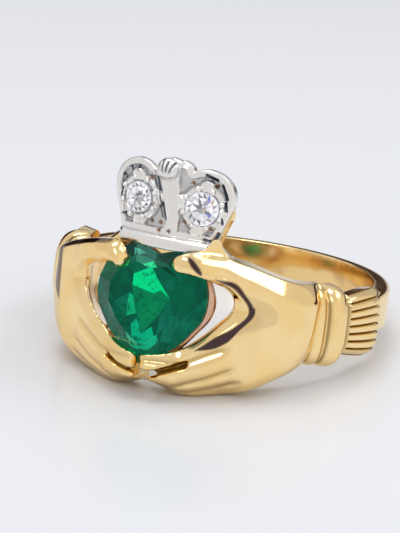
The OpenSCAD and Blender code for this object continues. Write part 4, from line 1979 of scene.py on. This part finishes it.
@dataclass
class Studio:
    """Pale floor, soft light and the camera.

    The flag is a dark strip on a round, open from its left to its right angle.
    """

    azimuth: float = 23.7
    elevation: float = 20.55
    roll: float = 2.83
    distance: float = 0.190
    lens: float = 215.9
    shift: Flat = (-28.5 / 533, 17.2 / 533)
    floor_size: float = 1.2
    sweep: float = 0.06
    sweep_steps: int = 8
    wall_high: float = 0.6
    flag_far: float = 0.17
    flag_left: float = 98.0
    flag_right: float = 132.0
    flag_high: float = 0.030
    room_low: Colour = (0.98, 0.93, 0.88)
    room_high: Colour = (0.96, 0.97, 1.0)
    room_dark: Colour = (0.035, 0.018, 0.015)
    room_warm: Colour = (1.1, 1.05, 0.98)
    room_light: float = 0.80
    lamps: tuple[Lamp, ...] = (
        Lamp("overhead", (-0.05, 0.02, 0.30), (0.16, 0.12), 0.24, (1.0, 0.985, 0.96)),
        Lamp("window", (0.02, -0.20, 0.24), (0.10, 0.07), 0.10, (1.0, 0.98, 0.95)),
        Lamp("side", (0.213, 0.147, 0.331), (0.30, 0.16), 0.30, (1.0, 0.99, 0.97)))

    @staticmethod
    def extrude(*way: float) -> None:
        """Extrude what is selected along a way."""
        bpy.ops.mesh.extrude_region_move(TRANSFORM_OT_translate={"value": way})

    def floor(self) -> None:
        """Sweep that runs from the floor up into a backdrop."""
        Bench.clear()
        bpy.ops.mesh.primitive_plane_add(size=self.floor_size, location=(0, 0.1, 0))
        obj = bpy.context.object
        obj.name = "floor"
        Bench.settled(obj)
        bpy.ops.object.mode_set(mode="EDIT")
        Bench.choose(obj, lambda co: co.y > self.floor_size / 2)
        for k in range(self.sweep_steps):
            a = math.pi / 2 * (k + 0.5) / self.sweep_steps
            self.extrude(0, self.sweep * math.cos(a), self.sweep * math.sin(a))
        self.extrude(0, 0, self.wall_high)
        bpy.ops.object.mode_set(mode="OBJECT")
        obj.data.materials.append(Wardrobe.get(Finish.FLOOR))
        Bench.shade(obj, 40)

    def flag(self) -> None:
        """Dark brown strip round the back, out of the picture."""
        Bench.clear()
        bpy.ops.mesh.primitive_circle_add(vertices=96, radius=self.flag_far)
        obj = bpy.context.object
        obj.name = "flag"
        bpy.ops.object.mode_set(mode="EDIT")
        Bench.drop(obj, "VERTS", lambda mesh: [
            v for v in mesh.verts
            if -self.flag_left < math.degrees(math.atan2(v.co.x, -v.co.y)) < self.flag_right])
        bpy.ops.mesh.select_all(action="SELECT")
        self.extrude(0, 0, self.flag_high)
        bpy.ops.object.mode_set(mode="OBJECT")
        obj.data.materials.append(Wardrobe.get(Finish.CARD))
        obj.visible_camera = False

    def world(self) -> None:
        """Soft room: pale, brighter overhead, dark brown to the left."""
        world = bpy.data.worlds.new("room")
        bpy.context.scene.world = world
        world.use_nodes = True
        g = Graph(world.node_tree)
        where = g.node("ShaderNodeTexCoord", output="Generated")

        def facing(x: float, y: float, z: float) -> Socket:
            """How much a direction faces a way."""
            way = Vector((x, y, z)).normalized()
            return g.node("ShaderNodeVectorMath", {"operation": "DOT_PRODUCT"},
                          {0: where, 1: tuple(way)}, "Value")

        tone = g.mix(g.part(where, "Z").step(0.05, 0.75), self.room_low, self.room_high)
        tone = g.mix(facing(-0.82, 0.57, 0.12).step(0.88, 0.95), tone, self.room_dark)
        tone = g.mix(facing(0.9, -0.3, 0.2).step(0.7, 0.95), tone, self.room_warm)
        back = g.node("ShaderNodeBackground", inputs={"Color": tone, "Strength": self.room_light})
        g.node("ShaderNodeOutputWorld", inputs={"Surface": back})

    def camera(self) -> None:
        """Camera at the photograph's angle."""
        a, e = math.radians(self.azimuth), math.radians(self.elevation)
        back = Vector((math.sin(a) * math.cos(e), -math.cos(a) * math.cos(e), math.sin(e)))
        data = bpy.data.cameras.new("camera")
        data.lens = self.lens
        data.sensor_width = 36.0
        data.shift_x, data.shift_y = self.shift
        data.clip_start = 0.01
        obj = bpy.data.objects.new("camera", data)
        obj.matrix_world = (Matrix.Translation(POSE.middle() + back * self.distance)
                            @ back.to_track_quat("Z", "Y").to_matrix().to_4x4()
                            @ Matrix.Rotation(math.radians(self.roll), 4, "Z"))
        bpy.context.collection.objects.link(obj)
        bpy.context.scene.camera = obj

    def build(self) -> None:
        """Set the whole stage."""
        bpy.context.scene.view_settings.view_transform = "Standard"
        self.camera()
        self.floor()
        self.flag()
        self.world()
        for lamp in self.lamps:
            lamp.hang()


def main() -> None:
    """Build each piece in order and report it."""
    logging.basicConfig(level=logging.INFO, format="%(name)s: %(message)s")
    Studio().build()
    gold = ("ring_body", "yellow_gold")
    settle(Hand().build("right_hand"), *gold, Finish.GOLD)
    left = left_hand().build("left_hand")
    Bench.mirrored(left)
    settle(left, *gold, Finish.GOLD)
    for side, cuff in (("right", Cuff()), ("left", Cuff(bead_drop=0.12, sleeve_drop=0.10))):
        for obj in (cuff.build_bead(side + "_bead"), cuff.build_sleeve(side + "_sleeve")):
            if side == "left":
                Bench.mirrored(obj)
            settle(obj, *gold, Finish.GOLD)
    settle(Band().build("shank"), *gold, Finish.BAND)
    heart = HeartStone()
    settle(heart.build_setting("heart_setting"), *gold, Finish.ROSE)
    settle(heart.build_stone("heart_gem"), "heart_stone", "emerald",
           Finish.EMERALD, Finish.EMERALD_DEPTHS)
    crown = Crown()
    settle(crown.build_back("crown_mount"), *gold, Finish.GOLD)
    for obj in (crown.build_plate("crown_plate"), crown.build_rail("crown_rail"),
                crown.build_ball("crown_ball"), crown.build_grains("crown_grains")):
        settle(obj, "crown", "white_gold", Finish.WHITE)
    for side, node in ((-1, "diamond_left"), (1, "diamond_right")):
        settle(crown.build_diamond(node + "_gem", side), node, "diamond",
               Finish.DIAMOND, Finish.DIAMOND_DEPTHS)
    Bench.clear()
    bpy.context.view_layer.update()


if __name__ == "__main__":
    main()
